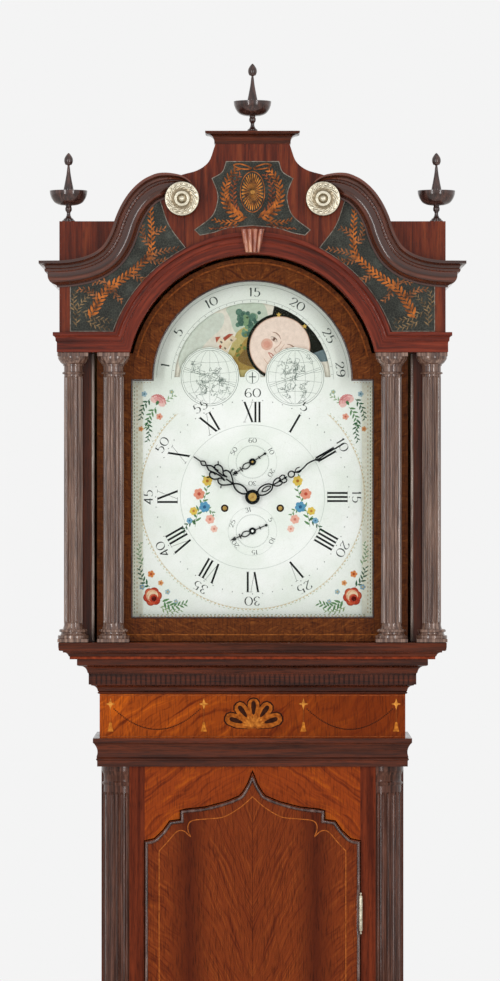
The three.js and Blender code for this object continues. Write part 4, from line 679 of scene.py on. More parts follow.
@kept
def hood_door_veneer(name):
    """Brown mottled veneer of the hood door, lighter and yellower than the mouldings."""
    return figured_wood(name, ("#4a2311", "#653416", "#80481f"), 0.3, 16.0, 2.0, width=7.0)


@kept
def base_flame(name):
    """Flame veneer of the base, its figure rising from the middle."""
    return figured_wood(name, ("#56210f", colour("flame"), "#98491a"), 1.2, 90.0, 1.8, sag=-0.002,
                        width=20.0)


@kept
def bare_pine(name):
    """Dusty pine boards of the back: planks 96 mm wide with open joints and darkened grain."""
    made, tree, shader = new_material(name, Roughness=0.8, Specular_IOR_Level=0.2)
    place = node(tree, "TexCoord").outputs["Object"]
    long = node(tree, "Mapping", {"Scale": drawn(1 / MM, "z", 260, 9), "Vector": place})
    streaks = node(tree, "TexNoise", {"Scale": 1.0, "Detail": 5.0, "Distortion": 0.8, "Vector": long})
    shade = node(tree, "ValToRGB", {"Fac": streaks},
                 [(0.3, "#5c4328"), (0.5, colour("pine")), (0.7, "#a9885c")])
    axes = node(tree, "SeparateXYZ", [place])
    plank = node(tree, "Math", (axes.outputs["X"], 0.048, -0.048), operation="WRAP")
    edge = node(tree, "Math", [plank], operation="ABSOLUTE")
    joint = node(tree, "MapRange", {"Value": edge, "From Min": 0.0468, "From Max": 0.0478, "To Max": 0.8})
    boards = node(tree, "Mix", {0: joint, 6: shade, 7: "#2b1e12"}, data_type="RGBA")
    dent = node(tree, "Bump", {"Height": streaks, "Distance": 0.0004, "Strength": 0.5})
    wire(tree, shader, {"Base Color": boards.outputs[2], "Normal": dent})
    return made


@kept
def ebonised_panel(name):
    """Blackened panel whose polish has crazed into a fine greenish-grey net."""
    made, tree, shader = new_material(name, Roughness=0.45, Specular_IOR_Level=0.2)
    place = node(tree, "TexCoord").outputs["Object"]
    cloud = node(tree, "TexNoise", {"Scale": 1 / (22 * MM), "Detail": 4.0, "Vector": place})
    shade = node(tree, "ValToRGB", {"Fac": cloud},
                 [(0.35, "#181915"), (0.55, colour("ebonised")), (0.75, "#3d403a")])
    net = node(tree, "TexVoronoi", {"Scale": 1 / (3.5 * MM), "Vector": place}, feature="DISTANCE_TO_EDGE")
    craze = node(tree, "ValToRGB", {"Fac": net}, [(0.0, "#747668"), (0.06, "#000000")])
    mixed = node(tree, "Mix", {0: 0.3, 6: shade, 7: craze}, data_type="RGBA", blend_type="ADD")
    dent = node(tree, "Bump", {"Height": net, "Distance": 0.0001, "Strength": 0.4})
    wire(tree, shader, {"Base Color": mixed.outputs[2], "Normal": dent})
    return made


def coloured_layer(name, cloudy, worn_tone, spread, **values):
    """A layer that takes each shape's own colour, clouded by a tone in patches of that spread in mm."""
    made, tree, shader = new_material(name, **values)
    tint = node(tree, "Attribute", attribute_name="tint")
    place = node(tree, "TexCoord").outputs["Object"]
    cloud = node(tree, "TexNoise", {"Scale": 1 / (spread * MM), "Detail": 3.0, "Vector": place})
    worn = node(tree, "ValToRGB", {"Fac": cloud}, [(0.3, worn_tone), (0.68, "#ffffff")])
    mixed = node(tree, "Mix", {0: cloudy, 6: tint, 7: worn}, data_type="RGBA", blend_type="MULTIPLY")
    dull = node(tree, "MapRange", {"Value": cloud, "To Min": 0.3, "To Max": 0.5})
    wire(tree, shader, {"Base Color": mixed.outputs[2], "Roughness": dull})
    return made


@kept
def inlay(name):
    """Boxwood and stained inlay under the polish, browned in patches; it also carries the hood base's painted
    highlights and the keyhole's painted shade.
    """
    return coloured_layer(name, 0.8, "#8a6c54", 5.0, Specular_IOR_Level=0.06)


@kept
def gilt_foliage(name):
    """Painted orange-gold leaves, worn thin and dark in places."""
    return coloured_layer(name, 0.95, "#4a4038", 9.0, Specular_IOR_Level=0.2)


@kept
def dial_artwork(name):
    """Enamel colours of numerals, flowers and the moon's landscape, a little uneven in strength. It also
    carries the winding holes' painted shade and the border band's painted light.
    """
    return coloured_layer(name, 0.3, "#c4c0b6", 5.0, Specular_IOR_Level=0.04)


@kept
def dial_enamel(name):
    """Cool white paint of the dial: slightly green towards its edges, finely crazed, softly glossy."""
    made, tree, shader = new_material(name, Roughness=0.36, Specular_IOR_Level=0.5)
    place = node(tree, "TexCoord").outputs["Object"]
    cloud = node(tree, "TexNoise", {"Scale": 1 / (60 * MM), "Detail": 3.0, "Vector": place})
    shade = node(tree, "ValToRGB", {"Fac": cloud}, [(0.3, "#e9f2e9"), (0.6, colour("dial"))])
    middle = node(tree, "Mapping", {"Location": (0, 0, -HANDS_Z * MM), "Vector": place})
    out = node(tree, "VectorMath", [middle], operation="LENGTH").outputs["Value"]
    edge = node(tree, "MapRange", {"Value": out, "From Min": 0.155, "From Max": 0.22, "To Max": 0.5})
    # The ground turns darker and greener towards the dial's edges.
    edge_toned = node(tree, "Mix", {0: edge, 6: shade, 7: "#dde9da"}, data_type="RGBA").outputs[2]
    net = node(tree, "TexVoronoi", {"Scale": 1 / (7 * MM), "Vector": place}, feature="DISTANCE_TO_EDGE")
    craze = node(tree, "ValToRGB", {"Fac": net}, [(0.0, "#cfcfc4"), (0.03, "#ffffff")])
    mixed = node(tree, "Mix", {0: 0.25, 6: edge_toned, 7: craze}, data_type="RGBA", blend_type="MULTIPLY")
    dent = node(tree, "Bump", {"Height": net, "Distance": 0.00004, "Strength": 0.4})
    wire(tree, shader, {"Base Color": mixed.outputs[2], "Normal": dent})
    return made


def tarnished(name, bright, dark, spread, rough):
    """Metal that is bright where it is rubbed and darker in patches of that spread in mm."""
    made, tree, shader = new_material(name, Metallic=1.0)
    place = node(tree, "TexCoord").outputs["Object"]
    cloud = node(tree, "TexNoise", {"Scale": 1 / (spread * MM), "Detail": 5.0, "Roughness": 0.65,
                                    "Vector": place})
    shade = node(tree, "ValToRGB", {"Fac": cloud}, [(0.32, dark), (0.6, bright)])
    dull = node(tree, "MapRange", {"Value": cloud, "From Min": 0.3, "From Max": 0.65,
                                   "To Min": rough + 0.16, "To Max": rough})
    dent = node(tree, "Bump", {"Height": cloud, "Distance": 0.00006, "Strength": 0.5})
    wire(tree, shader, {"Base Color": shade, "Roughness": dull, "Normal": dent})
    return made


@kept
def rosette_brass(name):
    """Pale worn brass of the hinges, the escutcheon and the weights' cases."""
    return tarnished(name, colour("pale_brass"), "#8b8470", 4.0, 0.33)


@kept
def stamped_brass(name):
    """Pale brass of the rosettes, bright on its ridges; its hollows brown, partly old lacquer and dirt,
    partly painted shade.
    """
    made = tarnished(name, "#ded7c4", "#b3ab96", 5.0, 0.3)
    tree = made.node_tree
    shader = tree.nodes["Principled BSDF"]
    # The tint darkens the hollows, partly as dirt and partly as painted shade.
    depth = node(tree, "Attribute", attribute_name="tint")
    bright = shader.inputs["Base Color"].links[0].from_socket
    rubbed = node(tree, "Mix", {0: 1.0, 6: bright, 7: depth}, data_type="RGBA", blend_type="MULTIPLY")
    wire(tree, shader, {"Base Color": rubbed.outputs[2]})
    return made


@kept
def movement_brass(name):
    """Lacquered yellow brass, darkened in soft patches."""
    return tarnished(name, colour("brass"), "#8f7138", 16.0, 0.26)


@kept
def blued_hands(name):
    """Steel blued almost to black, with a soft shine."""
    return tarnished(name, colour("blued"), "#0f1114", 8.0, 0.3)


@kept
def movement_steel(name):
    """Grey steel of arbors and levers."""
    return tarnished(name, "#a6a6a3", "#6f6f6d", 10.0, 0.3)


@kept
def iron_nails(name):
    """Rusty heads of hand-made nails."""
    return tarnished(name, "#4a3a30", "#2a201a", 2.0, 0.6)


@kept
def door_glass(name):
    """Thin clear glass: almost nothing but a faint wavy reflection."""
    made, tree, shader = new_material(name, Roughness=0.03, Alpha=0.025, Specular_IOR_Level=0.5)
    place = node(tree, "TexCoord").outputs["Object"]
    wave = node(tree, "TexNoise", {"Scale": 1 / (55 * MM), "Detail": 1.0, "Vector": place})
    shade = node(tree, "ValToRGB", {"Fac": wave}, [(0.3, "#46504a"), (0.7, "#66706a")])
    dent = node(tree, "Bump", {"Height": wave, "Distance": 0.0006, "Strength": 0.3})
    wire(tree, shader, {"Base Color": shade, "Normal": dent})
    return made


@kept
def gut_line(name):
    """Twisted gut: amber, with a fine diagonal twist."""
    made, tree, shader = new_material(name, Roughness=0.5)
    place = node(tree, "TexCoord").outputs["Object"]
    twist = node(tree, "TexWave", {"Scale": 1 / (5 * MM), "Distortion": 0.5, "Vector": place},
                 bands_direction="DIAGONAL")
    shade = node(tree, "ValToRGB", {"Fac": twist}, [(0.2, "#8f6a3c"), (0.8, "#cfa670")])
    wire(tree, shader, {"Base Color": shade})
    return made


@kept
def studio_floor(name):
    """Matt pale floor with a hardly visible mottle."""
    made, tree, shader = new_material(name, Roughness=0.9, Specular_IOR_Level=0.1)
    place = node(tree, "TexCoord").outputs["Object"]
    cloud = node(tree, "TexNoise", {"Scale": 2.0, "Detail": 2.0, "Vector": place})
    shade = node(tree, "ValToRGB", {"Fac": cloud}, [(0.3, "#ebeae8"), (0.7, "#efeeec")])
    wire(tree, shader, {"Base Color": shade})
    return made


# Case


def box_rows(pitch, width, half):
    """Left edges of boxes of that width, a pitch apart and centred within half on each side."""
    count = int(2 * half / pitch)
    return (np.arange(count) - (count - 1) / 2) * pitch - width / 2


class CLOCK_OT_case_mouldings(bpy.types.Operator):
    """Waist moulding, moulding over the trunk and the throat moulding with its dentils"""
    bl_idname = "clock.case_mouldings"
    bl_label = "Case mouldings"

    def execute(self, context):
        wood = moulding_mahogany()
        waist = profile((0.3, 0), (46, 0), (46, 7, 0.12), (43.5, 11), (43.5, 14, -0.2), (15, 38), (13, 39),
                        (13, 41.5, 0.2), (7, 47), (4, 49.7), (0.3, 49.7))
        piece("base_moulding_run", wrapped(waist, 221.4, -64.3, 590), "case", wood,
              ["base_moulding"])
        over = profile((0.3, 0), (3.5, 0), (3.5, 8.5, 0.4), (3.5, 12.5), (4.6, 13.5, -0.16), (8.6, 34),
                       (9.6, 35), (9.6, 41.2), (0.3, 41.2))
        piece("trunk_cornice_run", wrapped(over, TRUNK_HALF, TRUNK_FACE, 1379), "case", wood,
              ["trunk_cornice"])
        proud = size("dentil_proud")
        band = 15.7 - proud
        throat = profile((0.3, 0), (1.2, 0, 0.5), (1.2, 3.4), (2.6, 4, -0.2), (band - 1, 12.5), (band, 13),
                         (band, 29), (15.7, 29), (15.7, 30.5), (17, 31, -0.22), (29.5, 41.5), (32, 42.6),
                         (32, 50.9), (0.3, 50.9))
        run = wrapped(throat, TRUNK_HALF, TRUNK_FACE, 1484.8)
        width, pitch = size("dentil_width"), size("dentil_pitch")
        tooth = [(0, 0), (width, 0), (width, 13.6), (width / 2, 15.4), (0, 13.6)]
        face, end = TRUNK_FACE - band, TRUNK_HALF + band

        def teeth(left, front, rear):
            """Dentils from their left edges."""
            return stamps(tooth, np.column_stack([left, np.full(len(left), DENTIL_Z)]), 0, 1, front, rear)

        front = teeth(box_rows(pitch, width, end), face - proud, face + 1)
        points, faces = teeth(np.arange(face + pitch / 2, BACK - pitch, pitch), end - 1, end + proud)
        side = points[:, [1, 0, 2]], faces
        piece("throat_run", merge(run, front, side, reflected(side)), "case", wood,
              ["throat_moulding"])
        return {"FINISHED"}


def fluted_shaft(x, y, marks, flutes, depth, start=0.0, end=360.0):
    """Fluted shaft: at each height the radius is the mark's, less depth times a half-circle channel across
    each flute, whose width closes to a round end at the first and last fluted height. Flutes are their
    count, lowest and highest height, and a shaft of less than a full turn closes on its axis."""
    count, low, high = flutes
    ends = np.array([0, 0.15, 0.4, 0.9, 1.8, 3, 4.5])
    heights = np.unique(np.concatenate([[z for z, _ in marks], low + ends, high - ends]))
    radius = np.interp(heights, *np.asarray(marks, float).T)[:, None]
    turns = np.linspace(0, count, count * 12 + 1)[None, :]
    angle = np.radians(start + (end - start) * turns / count)
    across = np.abs(turns % 1 - 0.5)
    channel = 2 * np.pi * radius.max() * (end - start) / 360 / count * 0.36
    near = np.clip(np.minimum(heights - low, high - heights), 0, channel)[:, None]
    half = 0.36 * np.sqrt(np.clip(1 - (1 - near / channel) ** 2, 0, 1))
    hollow = np.sqrt(np.clip(1 - (across / np.maximum(half, 1e-6)) ** 2, 0, 1)) * np.minimum(half / 0.36, 1)
    r = radius - depth * hollow
    level = np.broadcast_to(heights[:, None], r.shape)
    ring = np.stack([x + r * np.cos(angle), y + r * np.sin(angle), level], -1)
    if end - start == 360:
        return capped(ring[:, :-1])
    core = np.array([[x, y, height] for height in heights])
    return capped(np.concatenate([ring, core[:, None]], 1))


class CLOCK_OT_quarter_columns(bpy.types.Operator):
    """Fluted quarter columns of the trunk with their turned caps and feet"""
    bl_idname = "clock.quarter_columns"
    bl_label = "Quarter columns"

    def execute(self, context):
        foot, top, plain, shaft = 640.3, 1378.7, 41.1, 38.6
        steps = [(foot, plain), (foot + 22, plain), (foot + 23, plain - 1.6), (foot + 26, plain - 0.4),
                 (foot + 29, plain - 0.4), (foot + 31.5, plain - 2), (foot + 34, shaft), (top - 29, shaft),
                 (top - 27, plain - 1), (top - 25.5, plain - 0.5), (top - 24, plain - 1), (top - 22, shaft),
                 (top - 14, shaft), (top - 12.5, plain - 1.8), (top - 7, plain - 0.3), (top - 6.8, plain),
                 (top, plain)]
        whole = fluted_shaft(179.7, -22.6, steps, (8, foot + 42, top - 38), size("quarter_flute_depth"),
                             -90.0, 0.0)
        for side, skin in (("left", reflected(whole)), ("right", whole)):
            piece(f"quarter_{side}", skin, "case", quarter_column_wood(),
                  [f"quarter_column_{side}"], angle=28)
        return {"FINISHED"}


def door_edge(inset=0.0):
    """The trunk door's outline inside its edge: foot, sides, then the ogee crest with its cusps."""
    crest = soft([(DOOR_HALF, 1270.1), (142.5, 1273.3), (129.2, 1286.2), (120.3, 1299)], 5)
    cusp = soft([(104.7, 1301.1), (104.7, 1314.1), (98, 1316.2), (69, 1319.4), (39.8, 1327), (18.8, 1335.6),
                 (13.2, 1342), (6.3, 1354.1), (0, 1370.1)], 5)
    half = np.concatenate([crest, cusp])[::-1]
    rise = np.linspace(1262, 704, 94)
    left = np.column_stack([np.full(94, DOOR_HALF), rise])
    outline = both_sides(np.concatenate([half, left, [(DOOR_HALF, 700)]]))
    return outline - mitres(outline, True) * inset


class CLOCK_OT_trunk_door(bpy.types.Operator):
    """Bead round the ogee-topped door, its boxwood stringing, hinges and keyhole"""
    bl_idname = "clock.trunk_door"
    bl_label = "Trunk door"

    def execute(self, context):
        dress(door_flame(), "trunk_door")
        width, proud = size("bead_width"), size("bead_proud")
        path = door_edge(width / 2 + 0.3)
        path = path[path[:, 1] <= path[np.argmin(abs(path[:, 0])), 1] + 0.01]
        path = path[np.linalg.norm(path - np.roll(path, 1, 0), axis=1) > 0.6]
        reach = np.min([abs(path[:, 1] - middle) for _, middle in HINGES], 0)
        rise = np.where((path[:, 0] > 150) & (reach < 33), 0.06, 1.0)
        # The bead's grey streaks are partly wear and partly painted sheen.
        piece("door_bead", half_round(path, DOOR_FACE + 0.05, width, proud, 9, rise), "trunk_door_leaf",
              worn_bead(), angle=50)
        half = np.concatenate([soft([(0, 1335), (18.7, 1318.9), (42, 1305.8), (65.3, 1302.9), (85.8, 1300.8),
                                     (93, 1295.6), (93.9, 1286.8), (90.1, 1276.6)], 5),
                               soft([(90.1, 1276.6), (100.3, 1285.3), (110.6, 1283.9), (123.7, 1269.3),
                                     (135.9, 1256.1)], 5), [(135.9, 718)]])
        outline = both_sides(half)
        keep = np.linalg.norm(outline - np.roll(outline, 1, 0), axis=1) > 0.05
        string = stroke(outline[keep], size("string_width"), DOOR_FACE - size("inlay_proud"), DOOR_FACE, True)
        joint = stroke([(0, 718), (0, 1333)], 0.5, DOOR_FACE - size("inlay_proud") / 2, DOOR_FACE)
        painted("door_stringing", [(string, "#b8672b"), (joint, "#4a1c0e")], "trunk_door_leaf", inlay())
        plate = soft([(0, 12), (4.2, 8), (3.6, 2), (5.2, -6), (3.5, -11), (0, -12.5)], 5)
        oval = both_sides(plate) + [-146.6, 970]
        # The keyhole's black disc and slot are painted shade, standing for the dark inside the hole.
        keyhole = [(disc(-146.6, 973, 2.2, DOOR_FACE - 1.0, DOOR_FACE - 0.9), "#0c0a08"),
                   (prism([(-147.3, 973), (-145.9, 973), (-145.2, 965), (-148, 965)], DOOR_FACE - 1.0,
                          DOOR_FACE - 0.9), "#0c0a08")]
        piece("escutcheon", prism(oval, DOOR_FACE - 0.9, DOOR_FACE), "trunk_door_leaf", rosette_brass())
        painted("keyhole", keyhole, "trunk_door_leaf", inlay())
        for place, middle in HINGES:
            half = [(0, 30.5), (1.5, 30.1), (2.2, 28.8), (1.5, 27.4), (0.9, 27), (0.9, 26.4), (2.3, 25.8),
                    (2.6, 25), (2.9, 24.4), (2.9, 9), (2.5, 8.7), (2.9, 8.4)]
            marks = half + [(r, -h) for r, h in half[::-1]]
            knuckle = lathe(marks, 157.45, -73.2, middle, 20)
            leaf = block(157.1, 157.8, -71, -54.3, middle - 24, middle + 24, 0.1)
            piece(f"door_hinge_{place}", merge(knuckle, leaf), "case", rosette_brass(),
                  [f"trunk_hinge_{place}"])
        return {"FINISHED"}


FAN_PETAL = [(0, 0), (0.1, 0.1), (0.19, 0.55), (0.17, 0.86), (0.1, 0.97), (0, 1), (-0.1, 0.97), (-0.17, 0.86),
             (-0.19, 0.55), (-0.1, 0.1)]


class CLOCK_OT_frieze(bpy.types.Operator):
    """Inlay of the frieze: a half fan between stars with bell drops and thin swags"""
    bl_idname = "clock.frieze"
    bl_label = "Frieze inlay"

    def execute(self, context):
        dress(frieze_flame(), "trunk_frieze")
        face, proud = TRUNK_FACE, size("inlay_proud")
        front, over = face - proud, face - 2 * proud
        star = [(0, 7.6), (1.7, 1.7), (6.2, 0), (1.7, -1.7), (0, -7.6), (-1.7, -1.7), (-6.2, 0), (-1.7, 1.7)]
        spots = np.array([(-207, 1470), (-70.9, 1470), (74.2, 1470), (209.4, 1470)], float)
        layers = [(stamps(star, spots, 0, 1.12, over, face), colour("boxwood"))]
        layers += [(stroke([(x, z - 7), (x, z - 27)], 0.45, front, face), "#a8642e") for x, z in spots]
        bell = both_sides(soft([(0, 0), (1.6, -1), (2.4, -5), (4.4, -10.5)], 4))
        layers.append((stamps(bell * [0.75, 1], spots - [0, 26], 0, 1.35, over, face), "#d9862f"))
        middle = np.array([[1.6, 1437.5]])
        turns = np.linspace(-72, 72, 5)
        petal, reach, five = np.array(FAN_PETAL), np.array([44, 42, 41, 42, 44.0]), np.repeat(middle, 5, 0)
        rays = np.linspace(-82, 82, 11)
        for step, (leaf, spot, turn, scale, tone) in enumerate((
                (petal * [1.36, 1.03], five, turns, reach, "#38160a"),
                (petal * [1.16, 0.98], five, turns, reach, "#b2621f"),
                (petal * [0.46, 0.5] + [0, 0.4], five, turns, 41.0, "#3a1a0c"),
                (petal * [0.5, 1], np.repeat(middle, 11, 0), rays, 16.0, "#cf7f30"))):
            layers.append((stamps(leaf, spot, turn, scale, over - step * 0.05, face), tone))
        foot = soft([(-36, 1441), (-18, 1436.5), (1.6, 1435.2), (21, 1436.5), (39, 1441)], 5)
        layers.append((stroke(foot, 1.5, over, face), "#b06a2c"))
        for left, right in ((-207, -70.9), (74.2, 209.4)):
            t = np.linspace(0.04, 0.96, 56)
            sag = np.column_stack([left + (right - left) * t, 1468 - 35 * (1 - (2 * t - 1) ** 2)])
            layers.append((stamps(bar(1.8, -0.8, 0.8), sag, 0, 1, front, face), "#3a1a0c"))
        layers += [(stroke([(-222.4, z), (222.4, z)], 0.9, front, face), "#a0562c") for z in (1482.4, 1422.6)]
        painted("frieze_inlay", layers, "case", inlay())
        return {"FINISHED"}


class CLOCK_OT_boards(bpy.types.Operator):
    """Boards of the case that keep their solids' shape, with stringing on the base and nails at the back"""
    bl_idname = "clock.boards"
    bl_label = "Boards"

    def execute(self, context):
        dress(spandrel_flame(), "trunk_front")
        dress(base_flame(), "base_case")
        dress(moulding_mahogany(), "plinth", "hood_roof")
        dress(upright_mahogany(), "trunk_side_left", "trunk_side_right", "hood_side_left", "hood_side_right")
        dress(bare_pine(), "backboard", "seatboard")
        face, proud = BASE_FACE, size("inlay_proud")
        panel = np.array([(-196, 160), (196, 160), (196, 540), (-196, 540)], float)
        banding = stroke(panel, 9, face - proud, face, True)
        inner = mitres(panel, True) * 4.5
        line, outer = (stroke(panel + way * inner, size("string_width"), face - 2 * proud, face, True)
                       for way in (1, -1))
        painted("base_banding", [(banding, "#5a2411"), (line, "#c07a3c"), (outer, "#c07a3c")], "case",
                inlay())
        nail = [(0, 0), (size("nail_radius"), 0.1), (size("nail_radius") * 0.7, 1.2), (0, 1.7)]
        heads = [lathe([(r, -h) for r, h in nail], x, BACK - 0.4, z, 10, lying=True)
                 for z in (150, 360, 560, 900, 1300, 1500) for x in (-196, -66, 66, 196)]
        piece("back_nails", merge(*heads), "case", iron_nails())
        return {"FINISHED"}


# Hood


class CLOCK_OT_hood_base(bpy.types.Operator):
    """Moulded base of the hood with the sill under its door"""
    bl_idname = "clock.hood_base"
    bl_label = "Hood base"

    def execute(self, context):
        marks = profile((-16.3, 0.3), (3, 0.3), (3, 4.4), (4.4, 5, -0.2), (12.5, 10.4), (12.5, 12.4),
                        (14, 13, 0.35), (18.6, 17), (19, 17.6), (19, 22.4, 0.3), (17.6, 24.8), (-16.3, 24.8))
        sill = block(-246, 246, -103.6, -59.7, 1536.3, 1561, 0.4)
        whole = merge(wrapped(marks, 262, -103.6, 1536), sill)
        piece("hood_base_run", whole, "hood", moulding_mahogany(), ["hood_base"])
        # Both lines are painted highlights: a broad bright one on the lower fillet, a thin pale one along the
        # top arris.
        line = stroke([(-264.6, 1538.4), (264.6, 1538.4)], 3.6, -107.0, -106.6)
        worn = stroke([(-278, 1559.9), (278, 1559.9)], 0.8, -121.7, -121.1)
        painted("hood_base_line", [(line, "#8f3d20"), (worn, "#a9644e")], "hood", inlay())
        return {"FINISHED"}


def hood_column(x, shaft, cap, pins):
    """A column: square foot, turned base, fluted shaft, turned capital and square abacus."""
    y, foot, top = -101.5, 1561.3, 1980.7
    base = [(0, 0), (cap, 0), (cap * 1.02, 2.2), (cap, 4.6), (cap * 0.86, 5.4), (cap * 0.8, 7.4),
            (cap * 0.8, 9), (cap * 0.92, 10), (cap * 0.93, 12), (cap * 0.88, 13.6), (shaft * 1.1, 14.4),
            (shaft * 1.04, 17.4), (shaft, 20), (0, 20)]
    head = [(0, 0), (shaft, 0), (shaft, 0.6), (shaft * 1.16, 1.2), (shaft * 1.2, 2.6), (shaft * 1.14, 4),
            (shaft, 4.6), (shaft, 12.4), (shaft * 1.1, 13), (shaft * 1.1, 15), (shaft * 1.2, 15.8),
            (cap * 0.84, 18), (cap * 0.95, 21.6), (cap, 23.4), (cap, 26.6), (0, 26.6)]
    marks = [(foot + 24, shaft), (top - 31, shaft * 0.985)]
    skins = [fluted_shaft(x, y, marks, (20, foot + 27, top - 34), size("flute_depth")),
             lathe(base, x, y, foot + 5), lathe(head, x, y, top - 32),
             block(x - cap, x + cap, y - cap, y + cap, foot, foot + 5, 0.4),
             block(x - cap, x + cap, y - cap, y + cap, top - 5.6, top, 0.4)]
    if pins:
        skins += [lathe([(0, -6), (2.5, -6), (2.5, 6), (0, 6)], x, y, z, 16) for z in (1561, 1981)]
    return merge(*skins)


class CLOCK_OT_hood_columns(bpy.types.Operator):
    """Four fluted columns, the inner pair on the hood door"""
    bl_idname = "clock.hood_columns"
    bl_label = "Hood columns"

    def execute(self, context):
        for name, span, shaft, cap, body in (("outer", 259.9, 13.5, 22.2, "hood"),
                                             ("inner", 201.5, 15.0, 23.2, "hood_door_leaf")):
            for side, way in SIDES:
                skin = hood_column(way * span, shaft, cap, name == "inner" and way > 0)
                piece(f"hood_column_{name}_{side}", skin, body, dark_column_wood(),
                      [f"column_{name}_{side}"], angle=32)
        return {"FINISHED"}


class CLOCK_OT_arch(bpy.types.Operator):
    """Entablatures and arch moulding in one sweep, with the headers behind and the reeded keystone"""
    bl_idname = "clock.arch"
    bl_label = "Arch and keystone"

    def execute(self, context):
        section = profile((-33, 0), (2.6, 0, 0.3), (3.6, 1), (3.6, 14.5, 0.25), (4.2, 16), (5.4, 16.3),
                          (5.4, 18.4), (5.6, 18.6, -0.2), (8.4, 23.6), (9.3, 24), (9.3, 28.6), (9, 29),
                          (-33, 29))
        d, v = section.T
        spring = np.arcsin((ENTABLATURE_Z + v - ARCH_Z) / (ARCH_RADIUS + v))
        t = np.linspace(0, 1, 97)[:, None]
        angle = np.pi - spring - (np.pi - 2 * spring) * t
        radius = ARCH_RADIUS + v * (1 + 0.11 * np.sin(np.pi * t) ** 0.7)
        y = np.broadcast_to(HOOD_FACE - d, angle.shape)
        bow = np.stack([radius * np.cos(angle), y, ARCH_Z + radius * np.sin(angle)], -1)
        level = [np.column_stack([way * (HOOD_HALF + d), depth, ENTABLATURE_Z + v])
                 for way in (-1, 1) for depth in (np.full(len(d), BACK), HOOD_FACE - d)]
        rings = np.concatenate([[level[0], level[1]], bow, [level[3], level[2]]])
        piece("arch_run", capped(rings), "hood", arch_mahogany(), ["arch_cornice"],
              flow=run_of(rings))
        head = block(182.1, 246, -92, -59.7, ENTABLATURE_Z, 2009.6, 0.3)
        piece("arch_headers", merge(head, reflected(head)), "hood", upright_mahogany())
        reeds = np.linspace(-1, 1, 41)
        bulge = np.abs(np.sin((reeds + 1) * 2 * np.pi)) ** 0.6 * 2.6
        rows = []
        for z, half, lift in ((2124.6, 10.1, 0), (2125.4, 10.2, 1), (2158.4, 17.2, 1), (2159.1, 17.3, 0)):
            front = np.column_stack([reeds * half, -137.2 - bulge * lift, np.full(41, z)])
            rows.append(np.concatenate([front, [(half, -121.3, z), (-half, -121.3, z)]]))
        # The reeds are coloured pale as a painted highlight.
        piece("keystone", capped(np.array(rows)), "hood", keystone_reeds(), angle=50)
        return {"FINISHED"}


class CLOCK_OT_pediment(bpy.types.Operator):
    """Pediment board with its corner blocks and scooped neck"""
    bl_idname = "clock.pediment"
    bl_label = "Pediment"

    def execute(self, context):
        shares = [(0.68, 0), (0.612, 0.146), (0.577, 0.268), (0.533, 0.36), (0.48, 0.445), (0.418, 0.476),
                  (0.361, 0.52), (0.281, 0.571), (0.226, 0.665), (0.2, 0.81), (0.1922, 0.86)]
        crown = soft([(u * HOOD_HALF, BOARD_TOP + w * 130.0) for u, w in shares], 5)
        start = math.degrees(math.asin((ENTABLATURE_TOP - ARCH_Z) / 210.8))
        notch = arc(0, ARCH_Z, 210.8, start, 180 - start, 64)
        right = np.concatenate([[(HOOD_HALF, ENTABLATURE_TOP), (HOOD_HALF, BOARD_TOP)], crown])
        board = prism(np.concatenate([right, mirror(right)[::-1], notch[::-1]]), HOOD_FACE, -101)
        corner = block(245.4, HOOD_HALF, HOOD_FACE + 0.02, -87, ENTABLATURE_TOP, 2170.5, 0.5)
        neck = block(-53.6, 53.6, -105, -88, BOARD_TOP, CAP_FOOT - 0.4, 0.3)
        piece("pediment_board", merge(board, corner, reflected(corner), neck), "hood", pediment_mahogany(),
              ["pediment"])
        return {"FINISHED"}


LEAF = soft([(0, 0), (0.2, 0.3), (0.16, 0.68), (0, 1), (-0.16, 0.68), (-0.2, 0.3)], 2, closed=True)
SLIM_LEAF, BROAD_LEAF = LEAF * [0.55, 1], LEAF * [0.8, 1]


def spray(path, leaf, pitch, spread, front, rear, stem=0.7, outline=LEAF):
    """A stem with leaves set alternately left and right, turned by spread from it and smaller to its tip."""
    line = soft(path, 8)
    far = lengths(line)
    at = np.arange(pitch * 0.6, far[-1], pitch)
    places = point_at(line, at)
    ahead = point_at(line, at + 0.5) - places
    ahead[-1] = ahead[-2]
    turns = np.degrees(np.arctan2(ahead[:, 0], ahead[:, 1]))
    turns += spread * np.where(np.arange(len(at)) % 2, 1, -1)
    scales = leaf * (1 - 0.4 * at / far[-1])
    return merge(stroke(line, stem, front + 0.003, rear), stamps(outline, places, turns, scales, front, rear))


